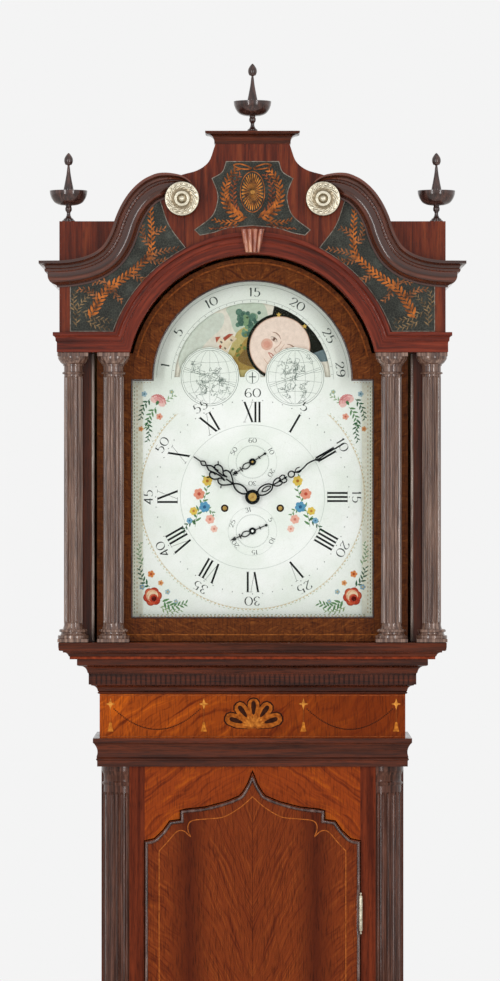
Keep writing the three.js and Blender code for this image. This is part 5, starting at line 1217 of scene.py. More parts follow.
class CLOCK_OT_gilt_panels(bpy.types.Operator):
    """Three ebonised panels of the pediment with their gilt sprays and oval fan"""
    bl_idname = "clock.gilt_panels"
    bl_label = "Gilt panels"

    def execute(self, context):
        centre = np.concatenate([
            soft([(0, 2257), (38, 2257)], 2), soft([(38, 2257), (43.5, 2242), (58.5, 2232.4)], 5),
            soft([(58.5, 2232.4), (51.5, 2215), (50.3, 2200), (58.5, 2178), (83.5, 2158)], 5),
            soft([(76, 2150.5), (58, 2154), (35, 2161), (0, 2164.5)], 4)])
        wing = np.concatenate([
            soft([(133.7, 2200.6), (120.8, 2164.5), (97.4, 2132.5)], 5),
            arc(0, ARCH_Z, 214, 62.5, 20, 24)[1:],
            [(202, 2011.5), (263.5, 2011.5), (263.5, 2083)],
            soft([(263.5, 2085), (235, 2085), (205, 2095), (185, 2115), (172, 2140), (166, 2170), (160, 2190),
                  (150, 2205)], 4)])
        panels = [both_sides(centre)[1:], wing, mirror(wing)]
        panels = [panel[np.linalg.norm(panel - np.roll(panel, 1, 0), axis=1) > 0.3] for panel in panels]
        grounds = [prism(panel, HOOD_FACE - 0.28, HOOD_FACE) for panel in panels]
        piece("panel_grounds", merge(*grounds), "hood", ebonised_panel())
        rims = [(stroke(panel, 1.1, HOOD_FACE - 0.5, HOOD_FACE, True), "#918a80") for panel in panels]
        painted("panel_rims", rims, "hood", inlay())
        front, rear = HOOD_FACE - 0.55, HOOD_FACE - 0.2
        gilt, pale, leaf = colour("gilt"), "#8f7450", size("leaf_length")
        layers = []
        long = [(236, 2030), (213, 2069), (190, 2086), (170, 2101), (149, 2123), (146, 2150), (148, 2190)]
        side = [((163, 2108), (140, 2124), (108, 2131)), ((176, 2098), (160, 2086), (143, 2090)),
                ((147, 2136), (158, 2148), (160, 2168)), ((146, 2150), (134, 2158), (127, 2160)),
                ((198, 2082), (200, 2066), (188, 2054)), ((222, 2058), (236, 2070), (252, 2072)),
                ((208, 2074), (214, 2084), (232, 2081)), ((154, 2118), (136, 2112), (124, 2116))]
        faded = [((255, 2018), (252, 2045), (232, 2068)), ((247, 2040), (226, 2030), (206, 2026)),
                 ((240, 2026), (222, 2018), (208, 2016)), ((258, 2040), (259, 2056), (256, 2070))]
        wreath = [(8, 2176), (23, 2180), (35, 2192), (40, 2210), (35, 2231), (24, 2245)]
        inner = [(16, 2181), (25, 2190), (28, 2206), (26, 2226), (17, 2239)]
        arm = [(20, 2171), (32, 2169), (46, 2169.5), (56, 2173)]
        low = [(20, 2165.5), (34, 2163), (48, 2160.5), (62, 2160)]
        stems = [(way, 0.8, 3.4, 45, 0.5, SLIM_LEAF, pale) for way in faded]
        stems += [(way, 0.8, 3.2, 44, 0.6, BROAD_LEAF, "#a5663a") for way in side]
        stems += [(long, 1.1, 3.6, 40, 0.9, BROAD_LEAF, gilt),
                  (low, 0.55, 3.0, 24, 0.7, BROAD_LEAF, "#a35423"),
                  (inner, 0.8, 3.4, 48, 0.7, BROAD_LEAF, "#a8562a"),
                  (arm, 0.75, 3.4, 34, 0.8, BROAD_LEAF, gilt),
                  (wreath, 1.15, 3.3, 42, 1.0, BROAD_LEAF, gilt)]
        for turn, apart in ((mirror, 0), (np.asarray, 0.0015)):
            for place, (way, share, pitch, lean, pen, outline, paint) in enumerate(stems):
                layers.append((spray(turn(way), leaf * share, pitch, lean, front - apart - place * 0.032,
                                     rear, pen, outline), paint))
            ribbon = soft([(1, 2247), (9, 2251), (19, 2253.5), (27, 2252), (22, 2248), (12, 2246),
                           (2, 2246)], 5)
            layers.append((stroke(turn(ribbon), 1.9, front - apart - 0.6, rear), gilt))
        oval = arc(0, 0, 1, 0, 360, 48)[:-1]
        rays = np.arange(0, 360, 12.0)
        petals = soft([(0, 0.1), (0.022, 0.5), (0.05, 0.84), (0, 0.97), (-0.05, 0.84), (-0.022, 0.5)], 3,
                      closed=True)
        front -= 0.6
        spokes, faces = stamps(petals, np.zeros((30, 2)), rays, 1.0, front - 0.05, rear)
        layers += [
            ((spokes * [16.5, 1, 28] + [0, 0, 2213], faces), "#dc8c36"),
            (stroke(oval * [9.4, 16.4] + [0, 2211], 0.9, front - 0.1, rear, True), "#9a5226"),
            (stroke(oval * [17.6, 29.4] + [0, 2213], 1.1, front - 0.05, rear, True), gilt),
            (disc(0, 2213, 3.2, front - 0.1, rear), "#e0a04a")]
        painted("gilt_sprays", layers, "hood", gilt_foliage())
        return {"FINISHED"}


NECK_SHARES = [(0, 0), (0.134, 0.016), (0.267, 0.055), (0.383, 0.121), (0.478, 0.221), (0.545, 0.353),
               (0.585, 0.475), (0.616, 0.596), (0.665, 0.73), (0.727, 0.845), (0.804, 0.937), (0.88, 0.987),
               (0.93, 1.008), (1.0, 1.025), (1.065, 1.03), (1.115, 1.012), (1.15, 0.975), (1.176, 0.92)]


class CLOCK_OT_swan_necks(bpy.types.Operator):
    """Swan-neck mouldings with a carved pellet line, mitred into their side returns"""
    bl_idname = "clock.swan_necks"
    bl_label = "Swan necks"

    def execute(self, context):
        section = profile((0, -18.9), (3, -18.9), (3, -16.4), (5.6, -15, 0.2), (16.2, 0.6), (16.2, 2.6),
                          (18.6, 3, 0.25), (20.2, 7.2), (19, 8.2, -0.14), (26, 14), (28.7, 14.8),
                          (28.7, 18.9), (0, 18.9))
        d, v = section.T
        path = soft([(-HOOD_HALF + u * 162.5, NECK_Z + w * 127.0) for u, w in NECK_SHARES], 8)
        along = mitres(path)
        gone = np.clip((path[:, :1] + 138) / 60, 0, 1)
        scale = 1 - 0.65 * gone**2 * (3 - 2 * gone)
        across, up = (path[:, k:k + 1] + along[:, k:k + 1] * v * scale for k in (0, 1))
        deep = d * (0.65 + 0.35 * scale)
        under = np.hypot(across + ROSETTE_X, up - ROSETTE_Z) < 25.6
        climb = np.stack([across, -121.3 - np.where(under, np.minimum(deep, 21.2), deep), up], -1)
        level = [np.column_stack([-279.7 - d, y, NECK_Z + v]) for y in (np.full(len(d), BACK), -121.3 - d)]
        rings = np.concatenate([np.array(level), climb[1:]])
        moulding = capped(rings)
        flow = run_of(rings)
        far = lengths(path)
        at = np.arange(4, far[-1] * 0.86, size("pellet_pitch"))
        foot = np.column_stack([np.interp(at, far, path[:, k] + along[:, k] * 5.2) for k in (0, 1)])
        deep = np.arange(-112, BACK - 4, size("pellet_pitch"))
        seats = np.concatenate([upright(foot, -140.6), [(-298.9, y, NECK_Z + 5.2) for y in deep]])
        ball = lathe([(0, -1), (0.75, -0.6), (1, 0), (0.75, 0.6), (0, 1)], 0, 0, 0, 6)
        pellets = merge(*[(ball[0] * 1.9 + seat, ball[1]) for seat in seats])
        boss = lathe([(0, -142.7), (24.3, -142.7), (24.3, -121.3), (0, -121.3)], -ROSETTE_X, 0, ROSETTE_Z, 56,
                     lying=True)
        whole = merge(moulding, pellets, boss)
        flow = np.concatenate([flow, whole[0][len(flow):]])
        for name, skin in (("left", whole), ("right", reflected(whole))):
            piece(f"swan_neck_run_{name}", skin, "hood", swept_mahogany(), [f"swan_neck_{name}"],
                  flow=flow, angle=30)
        return {"FINISHED"}


class CLOCK_OT_rosettes(bpy.types.Operator):
    """Stamped brass rosettes: a leafy outer ring, a plain ring and a boss"""
    bl_idname = "clock.rosettes"
    bl_label = "Rosettes"

    def execute(self, context):
        r = np.linspace(0.2, 25.3, 44)[:, None]
        turn = np.radians(np.linspace(0, 360, 121)[:-1])[None, :]
        u = r / 25.3
        rim = np.exp(-((u - 0.93) / 0.05) ** 2)
        ring = 1 / (1 + ((u - 0.36) / 0.095) ** 8)
        boss = np.clip(1 - (u / 0.19) ** 2, 0, 1) ** 0.5
        leaves = (np.abs(np.sin(8 * turn + 3 * np.sin(9 * u))) ** 0.7) * np.exp(-((u - 0.73) / 0.11) ** 2)
        beads = (0.5 + 0.5 * np.cos(40 * turn)) * np.exp(-((u - 0.86) / 0.03) ** 2)
        lift = 1.6 + 1.6 * rim + 3.2 * ring + 4.0 * boss + 2.0 * leaves + 0.7 * beads
        lift *= np.clip((1 - u) / 0.02, 0, 1) ** 0.5
        # Darker the lower the stamping lies: dirt in the hollows and painted shade in one.
        shade = np.clip((lift - 1.1) / 1.7, 0.2, 1.0)
        shade = np.concatenate([shade.ravel(), np.full(shade.size, 0.5)])
        y = -142.9 - np.minimum(lift, 6.6)
        front = np.stack([r * np.cos(turn), y, r * np.sin(turn)], -1)
        rear = np.stack([r[::-1] * np.cos(turn), np.full((44, 120), -142.8), r[::-1] * np.sin(turn)], -1)
        disk = capped(np.concatenate([front, rear]))
        for name, way in SIDES:
            skin = disk[0] + [way * ROSETTE_X, 0, ROSETTE_Z], disk[1]
            piece(f"rosette_face_{name}", skin, "hood", stamped_brass(), [f"rosette_{name}"],
                  angle=60, tint=np.column_stack([shade, shade**1.15, shade**1.35, np.ones(len(shade))]))
        return {"FINISHED"}


class CLOCK_OT_crowning(bpy.types.Operator):
    """Cap of the centre plinth and the three turned finials"""
    bl_idname = "clock.crowning"
    bl_label = "Cap and finials"

    def execute(self, context):
        marks = profile((1.5, 0), (1.5, 4, -0.16), (8.8, 13.2), (12.3, 13.8), (12.3, 15, 0.3), (14.7, 15.8),
                        (14.7, 18), (0, 18), (0, 0))[:-2]
        rings = [[(x, y, CAP_FOOT + up) for x, y in (
            (-53.7 - out, HOOD_FACE - out), (53.7 + out, HOOD_FACE - out), (53.7 + out, -88 + out),
            (-53.7 - out, -88 + out))] for out, up in marks]
        piece("centre_cap_run", capped(np.array(rings)), "hood", moulding_mahogany(),
              ["centre_cap"])
        base = [(0, 0), (9.5, 0), (9.5, 1.2), (7.4, 2.4), (7.4, 3.4), (4.6, 5.4), (3, 8.6), (2.6, 11.4),
                (3, 13.4), (4.6, 15.6), (4.9, 17.4), (4.9, 19.6), (4, 21.2), (4.4, 22.8)]
        cup = soft([(4.4, 22.8), (12.4, 23.8), (19.4, 26.8), (23.8, 32), (26.4, 38), (27.3, 43.4)], 4)
        dish = soft([(27.3, 44.4), (26, 44.7), (22, 42.6), (13, 42), (7.6, 43)], 4)
        spire = soft([(7.4, 44), (7, 48), (5.2, 57), (3.2, 68), (2, 78), (1.7, 81), (4, 82), (5, 83),
                      (6.4, 87), (5.8, 92), (3, 96.6), (1, 98.8), (0, 99.4)], 4)
        section = np.clip(np.concatenate([base, cup, dish, spire]), [0, 0], [27.35, 99.4])
        for name, x, y, foot in (("centre", 0, -104.5, 2300.6), ("left", -266.5, -108.1, 2170.9),
                                 ("right", 266.5, -108.1, 2170.9)):
            piece(f"finial_turned_{name}", lathe(section, x, y, foot, 56), "hood", finial_wood(),
                  [f"finial_{name}"], angle=40)
        return {"FINISHED"}


def break_arch(half, foot, shoulder, radius, steps=64):
    """A rectangle with shoulders and an arch on top, closed."""
    start = math.degrees(math.asin((shoulder - ARCH_Z) / radius))
    return np.concatenate([[(-half, foot), (half, foot), (half, shoulder)],
                           arc(0, ARCH_Z, radius, start, 180 - start, steps), [(-half, shoulder)]])


class CLOCK_OT_hood_door(bpy.types.Operator):
    """Veneer, stringing and sight bead of the hood door, and its glass"""
    bl_idname = "clock.hood_door"
    bl_label = "Hood door"

    def execute(self, context):
        dress(hood_door_veneer(), "hood_door")
        dress(door_glass(), "hood_glass")
        face, proud = HOOD_DOOR_FACE, size("inlay_proud")
        bow = stroke(arc(0, ARCH_Z, 171, 11.5, 168.5, 72), 1.6 * size("string_width"), face - proud, face)
        foot = stroke([(-218, 1571.3), (218, 1571.3)], size("string_width"), face - proud, face)
        painted("hood_door_stringing", [(bow, "#9c5626"), (foot, "#a8642c")], "hood_door_leaf", inlay())
        bead = half_round(break_arch(175.6, 1596.2, 1941.8, 145.0), face + 0.1, 2.6, 1.1, 7)
        piece("sight_bead", bead, "hood_door_leaf", finial_wood(), angle=50)
        # A rounded edge on each fixed stile beside the door, coloured pale as a painted highlight.
        t = np.linspace(0, np.pi, 9)
        x, y = 231.8 + 2.2 * np.cos(t), face - 2.2 * np.sin(t)
        edge = capped(np.array([np.column_stack([x, y, np.full(9, z)]) for z in (1562.2, 1979.8)]))
        piece("hood_stile_beads", merge(edge, reflected(edge)), "hood", worn_edge(),
              angle=50)
        return {"FINISHED"}


# Dial: every painted shape is a thin prism, laid over the plate in coats


def dial(level):
    """Front and rear of a shape painted that many coats above the dial."""
    return DIAL_FACE - size("paint_coat") * level, DIAL_FACE


def moon(level):
    """Front and rear of a shape painted that many coats above the moon's disc."""
    return MOON_FACE - size("paint_coat") * level, MOON_FACE


DIGITS = {
    "0": [arc(0.31, 0.5, 1, 0, 360, 24)],
    "1": [[(0.31, 1), (0.31, 0)], [(0.14, 0.82), (0.31, 1)]],
    "2": [[(0.06, 0.74), (0.1, 0.9), (0.3, 1), (0.5, 0.9), (0.54, 0.72), (0.42, 0.5), (0.2, 0.2),
           (0.05, 0.02)], [(0.05, 0.02), (0.2, 0.08), (0.4, 0), (0.56, 0.12)]],
    "3": [[(0.08, 0.8), (0.16, 0.95), (0.32, 1), (0.48, 0.88), (0.46, 0.68), (0.28, 0.54)],
          [(0.28, 0.54), (0.5, 0.44), (0.56, 0.24), (0.4, 0.03), (0.2, 0), (0.05, 0.16)]],
    "4": [[(0.44, 1), (0.04, 0.3), (0.6, 0.3)], [(0.44, 1), (0.44, 0)]],
    "5": [[(0.52, 1), (0.16, 1)], [(0.16, 1), (0.12, 0.56)],
          [(0.12, 0.56), (0.3, 0.64), (0.5, 0.52), (0.55, 0.3), (0.42, 0.06), (0.22, 0), (0.05, 0.12)]],
    "9": [[(0.1, 0.08), (0.26, 0), (0.44, 0.14), (0.54, 0.5), (0.52, 0.8), (0.34, 1), (0.14, 0.94),
           (0.06, 0.72), (0.16, 0.5), (0.34, 0.46), (0.5, 0.62)]],
}
DIGITS["6"] = [[(0.62 - u, 1 - w) for u, w in DIGITS["9"][0]]]
STRAIGHT_STROKES = ("10", "11", "40", "41", "50", "51")
DIGIT_STRETCH = {"0": 1.42, "1": 0.7, "2": 1.3, "3": 1.2, "4": 1.15, "5": 1.25, "6": 1.4, "9": 1.4}


def number(text, z, clock, radius, height, thick, hair):
    """A number along the dial's rays, its foot to the centre: the pen is thick where it runs upright."""
    wide = [0.62 * DIGIT_STRETCH[digit] for digit in text]
    foot = np.cumsum([0, *wide[:-1]]) + 0.12 * np.arange(len(wide))
    foot -= (foot[-1] + wide[-1]) / 2
    strokes = []
    for digit, left in zip(text, foot):
        for order, marks in enumerate(DIGITS[digit]):
            line = np.asarray(marks, float)
            if digit == "0":
                line = (line - [0.31, 0.5]) * [0.29, 0.49] + [0.31, 0.5]
            elif digit + str(order) not in STRAIGHT_STROKES:
                line = soft(line, 5)
            line = line * [DIGIT_STRETCH[digit], 1] + [left, 0]
            step = np.gradient(line, axis=0)
            rising = np.abs(step[:, 1]) / (np.linalg.norm(step, axis=1) + 1e-9)
            strokes.append(stroke(turned(line * height + [0, radius], 0, z, clock),
                                  hair + (thick - hair) * rising**1.5, *dial(3)))
    return merge(*strokes)


THICK, HAIR = 2.9, 0.45


def roman(text, clock):
    """An hour numeral along its ray: thick and thin strokes closed by hairline serifs."""
    foot, top = size("numeral_foot"), size("numeral_top")
    widths = {"I": 5.9, "V": 13.8, "X": 14.6}
    at = -sum(widths[letter] for letter in text) / 2
    parts = []
    for letter in text:
        wide = widths[letter]
        middle, half = at + wide / 2, wide / 2 - 1.6
        lines = {"I": [((middle, foot), (middle, top), THICK)],
                 "V": [((middle - half, top), (middle, foot), THICK),
                       ((middle + half, top), (middle, foot), HAIR)],
                 "X": [((middle - half, top), (middle + half, foot), THICK),
                       ((middle + half, top), (middle - half, foot), HAIR)]}[letter]
        for head, tail, pen in lines:
            parts.append(stroke(turned([head, tail], 0, HANDS_Z, clock), pen, *dial(3)))
            for end in (head, tail):
                if letter == "V" and end is tail:
                    continue
                serif = [(end[0] - 2.3, end[1]), (end[0] + 2.3, end[1])]
                parts.append(stroke(turned(serif, 0, HANDS_Z, clock), HAIR, *dial(3)))
        at += wide
    return merge(*parts)


def dashes(path, dash, pitch, width):
    """Short painted dashes at a pitch along a path."""
    at = np.arange(pitch / 2, lengths(path)[-1] - dash, pitch)
    places = point_at(path, at)
    turns = np.degrees(np.arctan2(*(point_at(path, at + 0.4) - places).T))
    return stamps(bar(width, 0, dash), places, turns, 1, *dial(2))


class CLOCK_OT_dial_numbers(bpy.types.Operator):
    """Rings, hour numerals, minute numbers, seconds and date circles and the moon's days"""
    bl_idname = "clock.dial_numbers"
    bl_label = "Dial numbers"

    def execute(self, context):
        dress(dial_enamel(), "dial_plate")
        ink, faint, hair = "#101314", "#a3b0a8", "#717e78"
        layers = [(roman(text, 30 * hour), ink)
                  for hour, text in enumerate("XII I II III IIII V VI VII VIII IX X XI".split())]
        foot, high = size("minute_foot"), size("minute_height")
        layers += [(number(str(minute), HANDS_Z, minute * 6, foot, high, 1.8, 0.3), "#272d2b")
                   for minute in range(5, 61, 5)]
        sixty, dot = np.arange(60) * 6.0, arc(0, 0, 0.75, 0, 360, 8)[:-1]
        layers += [
            (stamps(dot, polar(0, HANDS_Z, 141.6, sixty), 0, 1, *dial(2)), "#39403d"),
            (ring_flat(0, HANDS_Z, 105.4, 0.4, *dial(2)), faint),
            (stroke(arc(0, HANDS_Z, 163.4, 132, 408, 96), 0.5, *dial(2)), "#c9b98a")]
        for z, turn, marks in ((SECONDS_Z, 60, ("10", "20", "30", "40", "50", "60")),
                               (DATE_Z, 360 / 6.2, ("5", "10", "15", "20", "25", "31"))):
            layers += [(ring_flat(0, z, radius, pen, *dial(2)), faint)
                       for radius, pen in ((23.6, 0.35), (35.6, 0.25))]
            layers += [(number(text, z, turn * (k + 1), 28.2, 6.4, 1.0, 0.3), "#3f4844")
                       for k, text in enumerate(marks)]
            layers.append((stamps(bar(0.3, 0, 1.3), polar(0, z, 23.6, sixty), sixty, 1, *dial(2)), hair))
        layers += [(number(str(day), ARCH_Z, (day - 14.75) * 5.8, 123.4, 12.4, 2.0, 0.35), "#20312c")
                   for day in (1, 5, 10, 15, 20, 25, 29)]
        days = (np.arange(30) - 14.25) * 5.8
        layers += [
            (stamps(bar(0.5, 0, 2.4), polar(0, ARCH_Z, 115.4, days), days, 1, *dial(2)), "#39403d"),
            (stroke(arc(0, ARCH_Z, 140.2, 2, 178, 96), 0.4, *dial(2)), hair),
            (stroke(arc(0, ARCH_Z, 118.6, 1, 179, 96), 0.35, *dial(2)), hair)]
        # Dark rings round the winding squares: painted shade for the dark inside the winding holes.
        layers += [(ring_flat(x, WINDING_Z, 4.35, 2.3, *dial(3), 32), "#2c1c14")
                   for x in (-WINDING_X, WINDING_X)]
        painted("dial_numbers", layers, "case", dial_artwork())
        return {"FINISHED"}


PETAL = soft([(0, 0), (0.34, 0.34), (0.36, 0.78), (0, 1), (-0.36, 0.78), (-0.34, 0.34)], 3, closed=True)


def blossom(x, z, radius, petal, heart, level, count):
    """A small flower: petals round a heart."""
    turns = np.arange(count) * 360 / count + 17
    ring = stamps(PETAL, [(x, z)] * count, turns, radius, *dial(level))
    return [(ring, petal), (disc(x, z, radius * 0.3, *dial(level + 1), 12), heart)]


def leaves(path, length, paint, level, pitch):
    """A painted sprig: a stem with broad leaves."""
    return spray(path, length * 0.9, pitch, 46, *dial(level), 0.6, BROAD_LEAF), paint


def rose(x, z):
    """Red rose: a ring of shaded petals, a cream fold, and a red bowl with a dark heart."""
    out = []
    tones = ("#c64a30", "#d0603f", "#bb3f28", "#cf5a3a", "#c2452d", "#d46a48")
    for place, (spot, tone) in enumerate(zip(polar(x, z, 7.2, np.arange(6) * 60.0 + 20), tones)):
        start = 10 - 60 * place
        out.append((disc(*spot, 6.7, *dial(4 + place * 0.14), 20), tone))
        out.append((stroke(arc(*spot, 5.9, start, start + 120, 12), 0.9, *dial(5 + place * 0.14)),
                    "#8c2416"))
    out.append((disc(x - 0.4, z + 1.2, 8.6, *dial(6)), "#f2d6b2"))
    for radius, start, tone in ((7.4, 40, "#dd9c72"), (7.6, 170, "#cf7650"), (6.2, 100, "#e6b78c")):
        out.append((stroke(arc(x - 0.4, z + 1.2, radius, start, start + 80, 12), 0.8, *dial(7)), tone))
    out.append((disc(x + 1.4, z - 2.4, 6.3, *dial(8)), "#c2412a"))
    out.append((disc(x + 2.2, z - 3.2, 3.7, *dial(9)), "#5e130c"))
    out.append((stroke(arc(x + 1.4, z - 2.4, 5.2, 80, 200, 14), 0.8, *dial(9)), "#e58a64"))
    return out


def carnation(x, z, turn):
    """Pink carnation: two ruffled lobes of pale petals edged with red, over a green cup."""
    out = []
    for level, lean, reach in ((4, -38, 12.6), (4.4, 30, 12.6), (4.8, -4, 10.6)):
        rays = turn + lean + np.linspace(-26, 26, 4)
        out.append((stamps(PETAL * [1.25, 1], [(x, z)] * 4, rays, reach, *dial(level)), "#f3cbc4"))
        a = np.linspace(-34, 34, 40)
        ruffle = polar(x, z, reach * (0.93 + 0.07 * np.cos(np.radians(a * 24))), turn + lean + a)
        out.append((stroke(ruffle, 0.8, *dial(level + 2)), "#c6535c"))
        inner = polar(x, z, reach * (0.62 + 0.05 * np.cos(np.radians(a * 20))), turn + lean + a * 0.8)
        out.append((stroke(inner, 0.6, *dial(level + 1.8)), "#dd8a8a"))
    rays = turn + np.linspace(-64, 60, 9)
    vein = [(-0.03, 0.25), (0.03, 0.25), (0.012, 0.85), (-0.012, 0.85)]
    out.append((stamps(vein, [(x, z)] * 9, rays, 12.4, *dial(5.5)), "#d98088"))
    cup = turned([(0, -4), (2.2, -1), (2, 2.6), (0, 3.4), (-2, 2.6), (-2.2, -1)], x, z, turn)
    out.append((prism(cup, *dial(7)), "#4f8052"))
    return out


def hemisphere(x, turn):
    """An engraved map of half a globe: rings, meridians, parallels, a slanting band and broken coasts."""
    z, r = HUMP_Z, 42.0
    t = np.radians(np.linspace(-90, 90, 25))
    lines = [(arc(x, z, r, 0, 360, 72), 0.6), (arc(x, z, r - 2.6, 0, 360, 72), 0.35)]
    for share in (-0.72, -0.38, 0.0, 0.38, 0.72):
        lines.append((np.column_stack([x + share * (r - 2.6) * np.cos(t), z + (r - 2.6) * np.sin(t)]), 0.3))
    for level in (-24, -8, 8, 24):
        half = math.sqrt((r - 2.6) ** 2 - level**2)
        u = np.linspace(-1, 1, 13)
        bow = 3 * math.copysign(1, level) * (1 - u**2)
        lines.append((np.column_stack([x + half * u, z + level - bow]), 0.3))
    for offset in (-1.4, 1.4):
        lines.append(([(x - turn * 37, z - 13 + offset), (x + turn * 37, z + 13 + offset)], 0.4))
    seeds = np.random.default_rng(5 if turn > 0 else 8)
    for _ in range(24):
        walk = np.cumsum(seeds.normal(0, 2.7, (14, 2)), 0) + seeds.uniform(-21, 21, 2)
        far = np.linalg.norm(walk, axis=1, keepdims=True)
        lines.append((soft(walk * np.minimum(1, (r - 4) / np.maximum(far, 1e-6)) + [x, z], 2), 0.45))
    return [(stroke(line, pen, *dial(1 + place * 0.12)), "#67776f")
            for place, (line, pen) in enumerate(lines)]


class CLOCK_OT_dial_flowers(bpy.types.Operator):
    """Painted border, corner flowers and sprigs of the dial, and the maps' lines on the humps"""
    bl_idname = "clock.dial_flowers"
    bl_label = "Dial flowers"

    def execute(self, context):
        green, deep, gold = "#5f8d5b", "#2f5f3d", "#c29a3e"
        layers = []
        for way, turn in ((-1, mirror), (1, np.asarray)):
            # The border band is painted paler than the dial ground: painted light to lift the shade cast by
            # the door's frame.
            band = turn([(160, 1598), (160, 1938), (176.6, 1938), (176.6, 1598)])
            layers.append((prism(band, *dial(1)), "#f6fae8"))
            for x, step, tone in ((172.4, 5.2, "#7f936c"), (175.2, 4.4, gold), (168.6, 6.1, "#c9b27a")):
                line = turn([(x, 1599), (x, 1937)])
                layers.append((dashes(line, 2.6, step, 1.1), tone))
            layers.append((dashes(turn([(146, 1938.6), (174, 1938.6)]), 1.6, 4.4, 0.7), gold))
            layers += carnation(way * 139, 1909, -way * 30)
            layers += rose(way * 146, 1626)
            stems = [([(136, 1905), (122, 1915), (112, 1921)], 8, "#8fae84", 3.4),
                     ([(141, 1903), (150, 1890), (155, 1872)], 10, green, 3.4),
                     ([(150, 1915), (160, 1902), (164, 1884)], 9, deep, 3.4),
                     ([(154, 1886), (151, 1868), (154, 1852)], 9, deep, 3.4),
                     ([(136, 1611), (120, 1604), (104, 1606)], 8, "#93ad7c", 3.4),
                     ([(133, 1620), (116, 1612), (97, 1616)], 12, green, 3.0),
                     ([(150, 1640), (160, 1650), (165, 1668)], 10, deep, 3.4),
                     ([(160, 1672), (166, 1690), (163, 1706)], 8, "#8fae84", 3.4),
                     ([(84, 1728), (80, 1748), (70, 1770), (66, 1788), (70, 1803)], 11, green, 5.2),
                     ([(82, 1740), (94, 1732), (101, 1722)], 9, deep, 4.0),
                     ([(76, 1757), (62, 1752), (56, 1744)], 9, green, 4.0)]
            for place, (line, length, paint, pitch) in enumerate(stems):
                layers.append(leaves(turn(line), length, paint, 2 + place % 4 * 0.65, pitch))
            small = (
                (148, 1659, 5.4, "#dd8a4c", "#b33c22"), (134, 1646, 4.2, "#e2a66c", "#b8532c"),
                (124, 1633, 4, "#9ebcc6", "#d9b85a"), (161, 1640, 4.4, "#8fb2c4", "#e0c878"),
                (136, 1889, 5, "#e6a58c", "#c25a4a"), (158, 1922, 4.4, "#9fbfcb", "#5c8694"),
                (118, 1925, 3.6, "#a8c3b0", "#d8bf66"), (163, 1871, 4, "#e2a66c", "#b8532c"),
                (112, 1619, 3.4, "#a4bfc6", "#d8bf66"),
                (66, 1795, 7.6, "#e3c65a", "#b0702c"), (78, 1776, 8.4, "#e89a80", "#c0503c"),
                (70, 1757, 8.2, "#5b9cc0", "#2f5f86"), (62, 1739, 7, "#f0b6a4", "#cf7a6a"),
                (86, 1751, 6.2, "#e3c65a", "#c0803c"), (56, 1725, 5.4, "#f2c8b8", "#d98a78"),
                (92, 1737, 4.6, "#7fb0cc", "#3f6f96"))
            for place, (x, z, radius, petal, heart) in enumerate(small):
                layers += blossom(way * x, z, radius, petal, heart, 5 + place % 3 * 0.7, 5 + place // 9)
            layers += hemisphere(way * 62.3, way)
        layers += [(dashes(np.array([(-168.0, foot), (168.0, foot)]), 2.6, step, 1.1), tone)
                   for foot, step, tone in ((1597.6, 5.2, gold), (1599.6, 6.4, "#9aa98c"))]
        layers += [(dashes(arc(0, HANDS_Z, radius, 132, 408, 180), dash, step, pen), tone)
                   for radius, dash, step, pen, tone in ((164.6, 3, 5.8, 0.9, "#cbb06c"),
                                                         (166.8, 2.2, 7.1, 0.8, "#a9bd98"))]
        layers += [(stroke(line, 1.3, *dial(3)), "#4a5652")
                   for line in ([(0, 1938), (0, 1954)], [(-5, 1947), (5, 1947)])]
        layers.append((ring_flat(0, HUMP_Z, 9.4, 0.5, *dial(2), 32), "#82918a"))
        painted("dial_flowers", layers, "case", dial_artwork())
        return {"FINISHED"}


def moon_face(middle, turn):
    """A calm full moon in its dark sky: a pale disc with a brow, lowered lids, a nose and a quiet mouth."""
    x, z = middle
    out = [(disc(x, z, 44.5, *moon(16), 72), "#f4e2d3"), (ring_flat(x, z, 43.9, 1.2, *moon(17)), "#c9a792")]
    for way in (-1, 1):
        cheek = turned([(way * 17, -9)], x, z, turn)[0]
        out.append((disc(*cheek, 8.6, *moon(17)), "#e2b5a1"))
        out.append((disc(*cheek, 5.2, *moon(18)), "#dfa591"))
        for marks, pen, tone in (
                ([(6, 9.5), (11, 12), (17, 12.2), (22, 10)], [0.5, 1.3, 1.3, 0.5], "#94705c"),
                ([(7.6, 3.4), (11, 5.4), (15.6, 5.4), (19.4, 3.2)], [0.5, 1.2, 1.2, 0.5], "#6d5246"),
                ([(8.4, 2.4), (11.6, 0.8), (15.6, 0.8), (18.8, 2.6)], [0.4, 0.6, 0.6, 0.4], "#a98470")):
            line = turned(soft(marks, 4) * [way, 1], x, z, turn)
            wide = np.interp(np.linspace(0, 1, len(line)), np.linspace(0, 1, 4), pen)
            out.append((stroke(line, wide, *moon(19)), tone))
        lid = turned([(way * 13.5, 3)], x, z, turn)[0]
        out.append((disc(*lid, 2.1, *moon(18), 16), "#7b6154"))
    for marks, pen, tone in (
            ([(-3.4, 8), (-2.2, 1), (-4, -7), (-1.4, -9.6), (1.6, -9.4)], 0.8, "#b98f79"),
            ([(3.2, 7), (3.6, -5), (4.4, -7.6)], 0.6, "#cfa890"),
            ([(-8, -17), (-3, -15.6), (0, -16.2), (3, -15.6), (8, -17)], 1.3, "#b4685c"),
            ([(-7.4, -17.4), (0, -19.6), (7.4, -17.4)], 1.1, "#c67c6e"),
            ([(-7, -28), (0, -30), (7, -28)], 0.7, "#cfa890")):
        out.append((stroke(turned(soft(marks, 5), x, z, turn), pen, *moon(19)), tone))
    return out


def within(path, radius=MOON_RADIUS):
    """Points drawn back to a circle about the moon's arbor where they lie outside it."""
    off = np.asarray(path, float) - [0, ARCH_Z]
    far = np.linalg.norm(off, axis=1, keepdims=True)
    return [0, ARCH_Z] + off * np.minimum(1, radius / np.maximum(far, 1e-9))


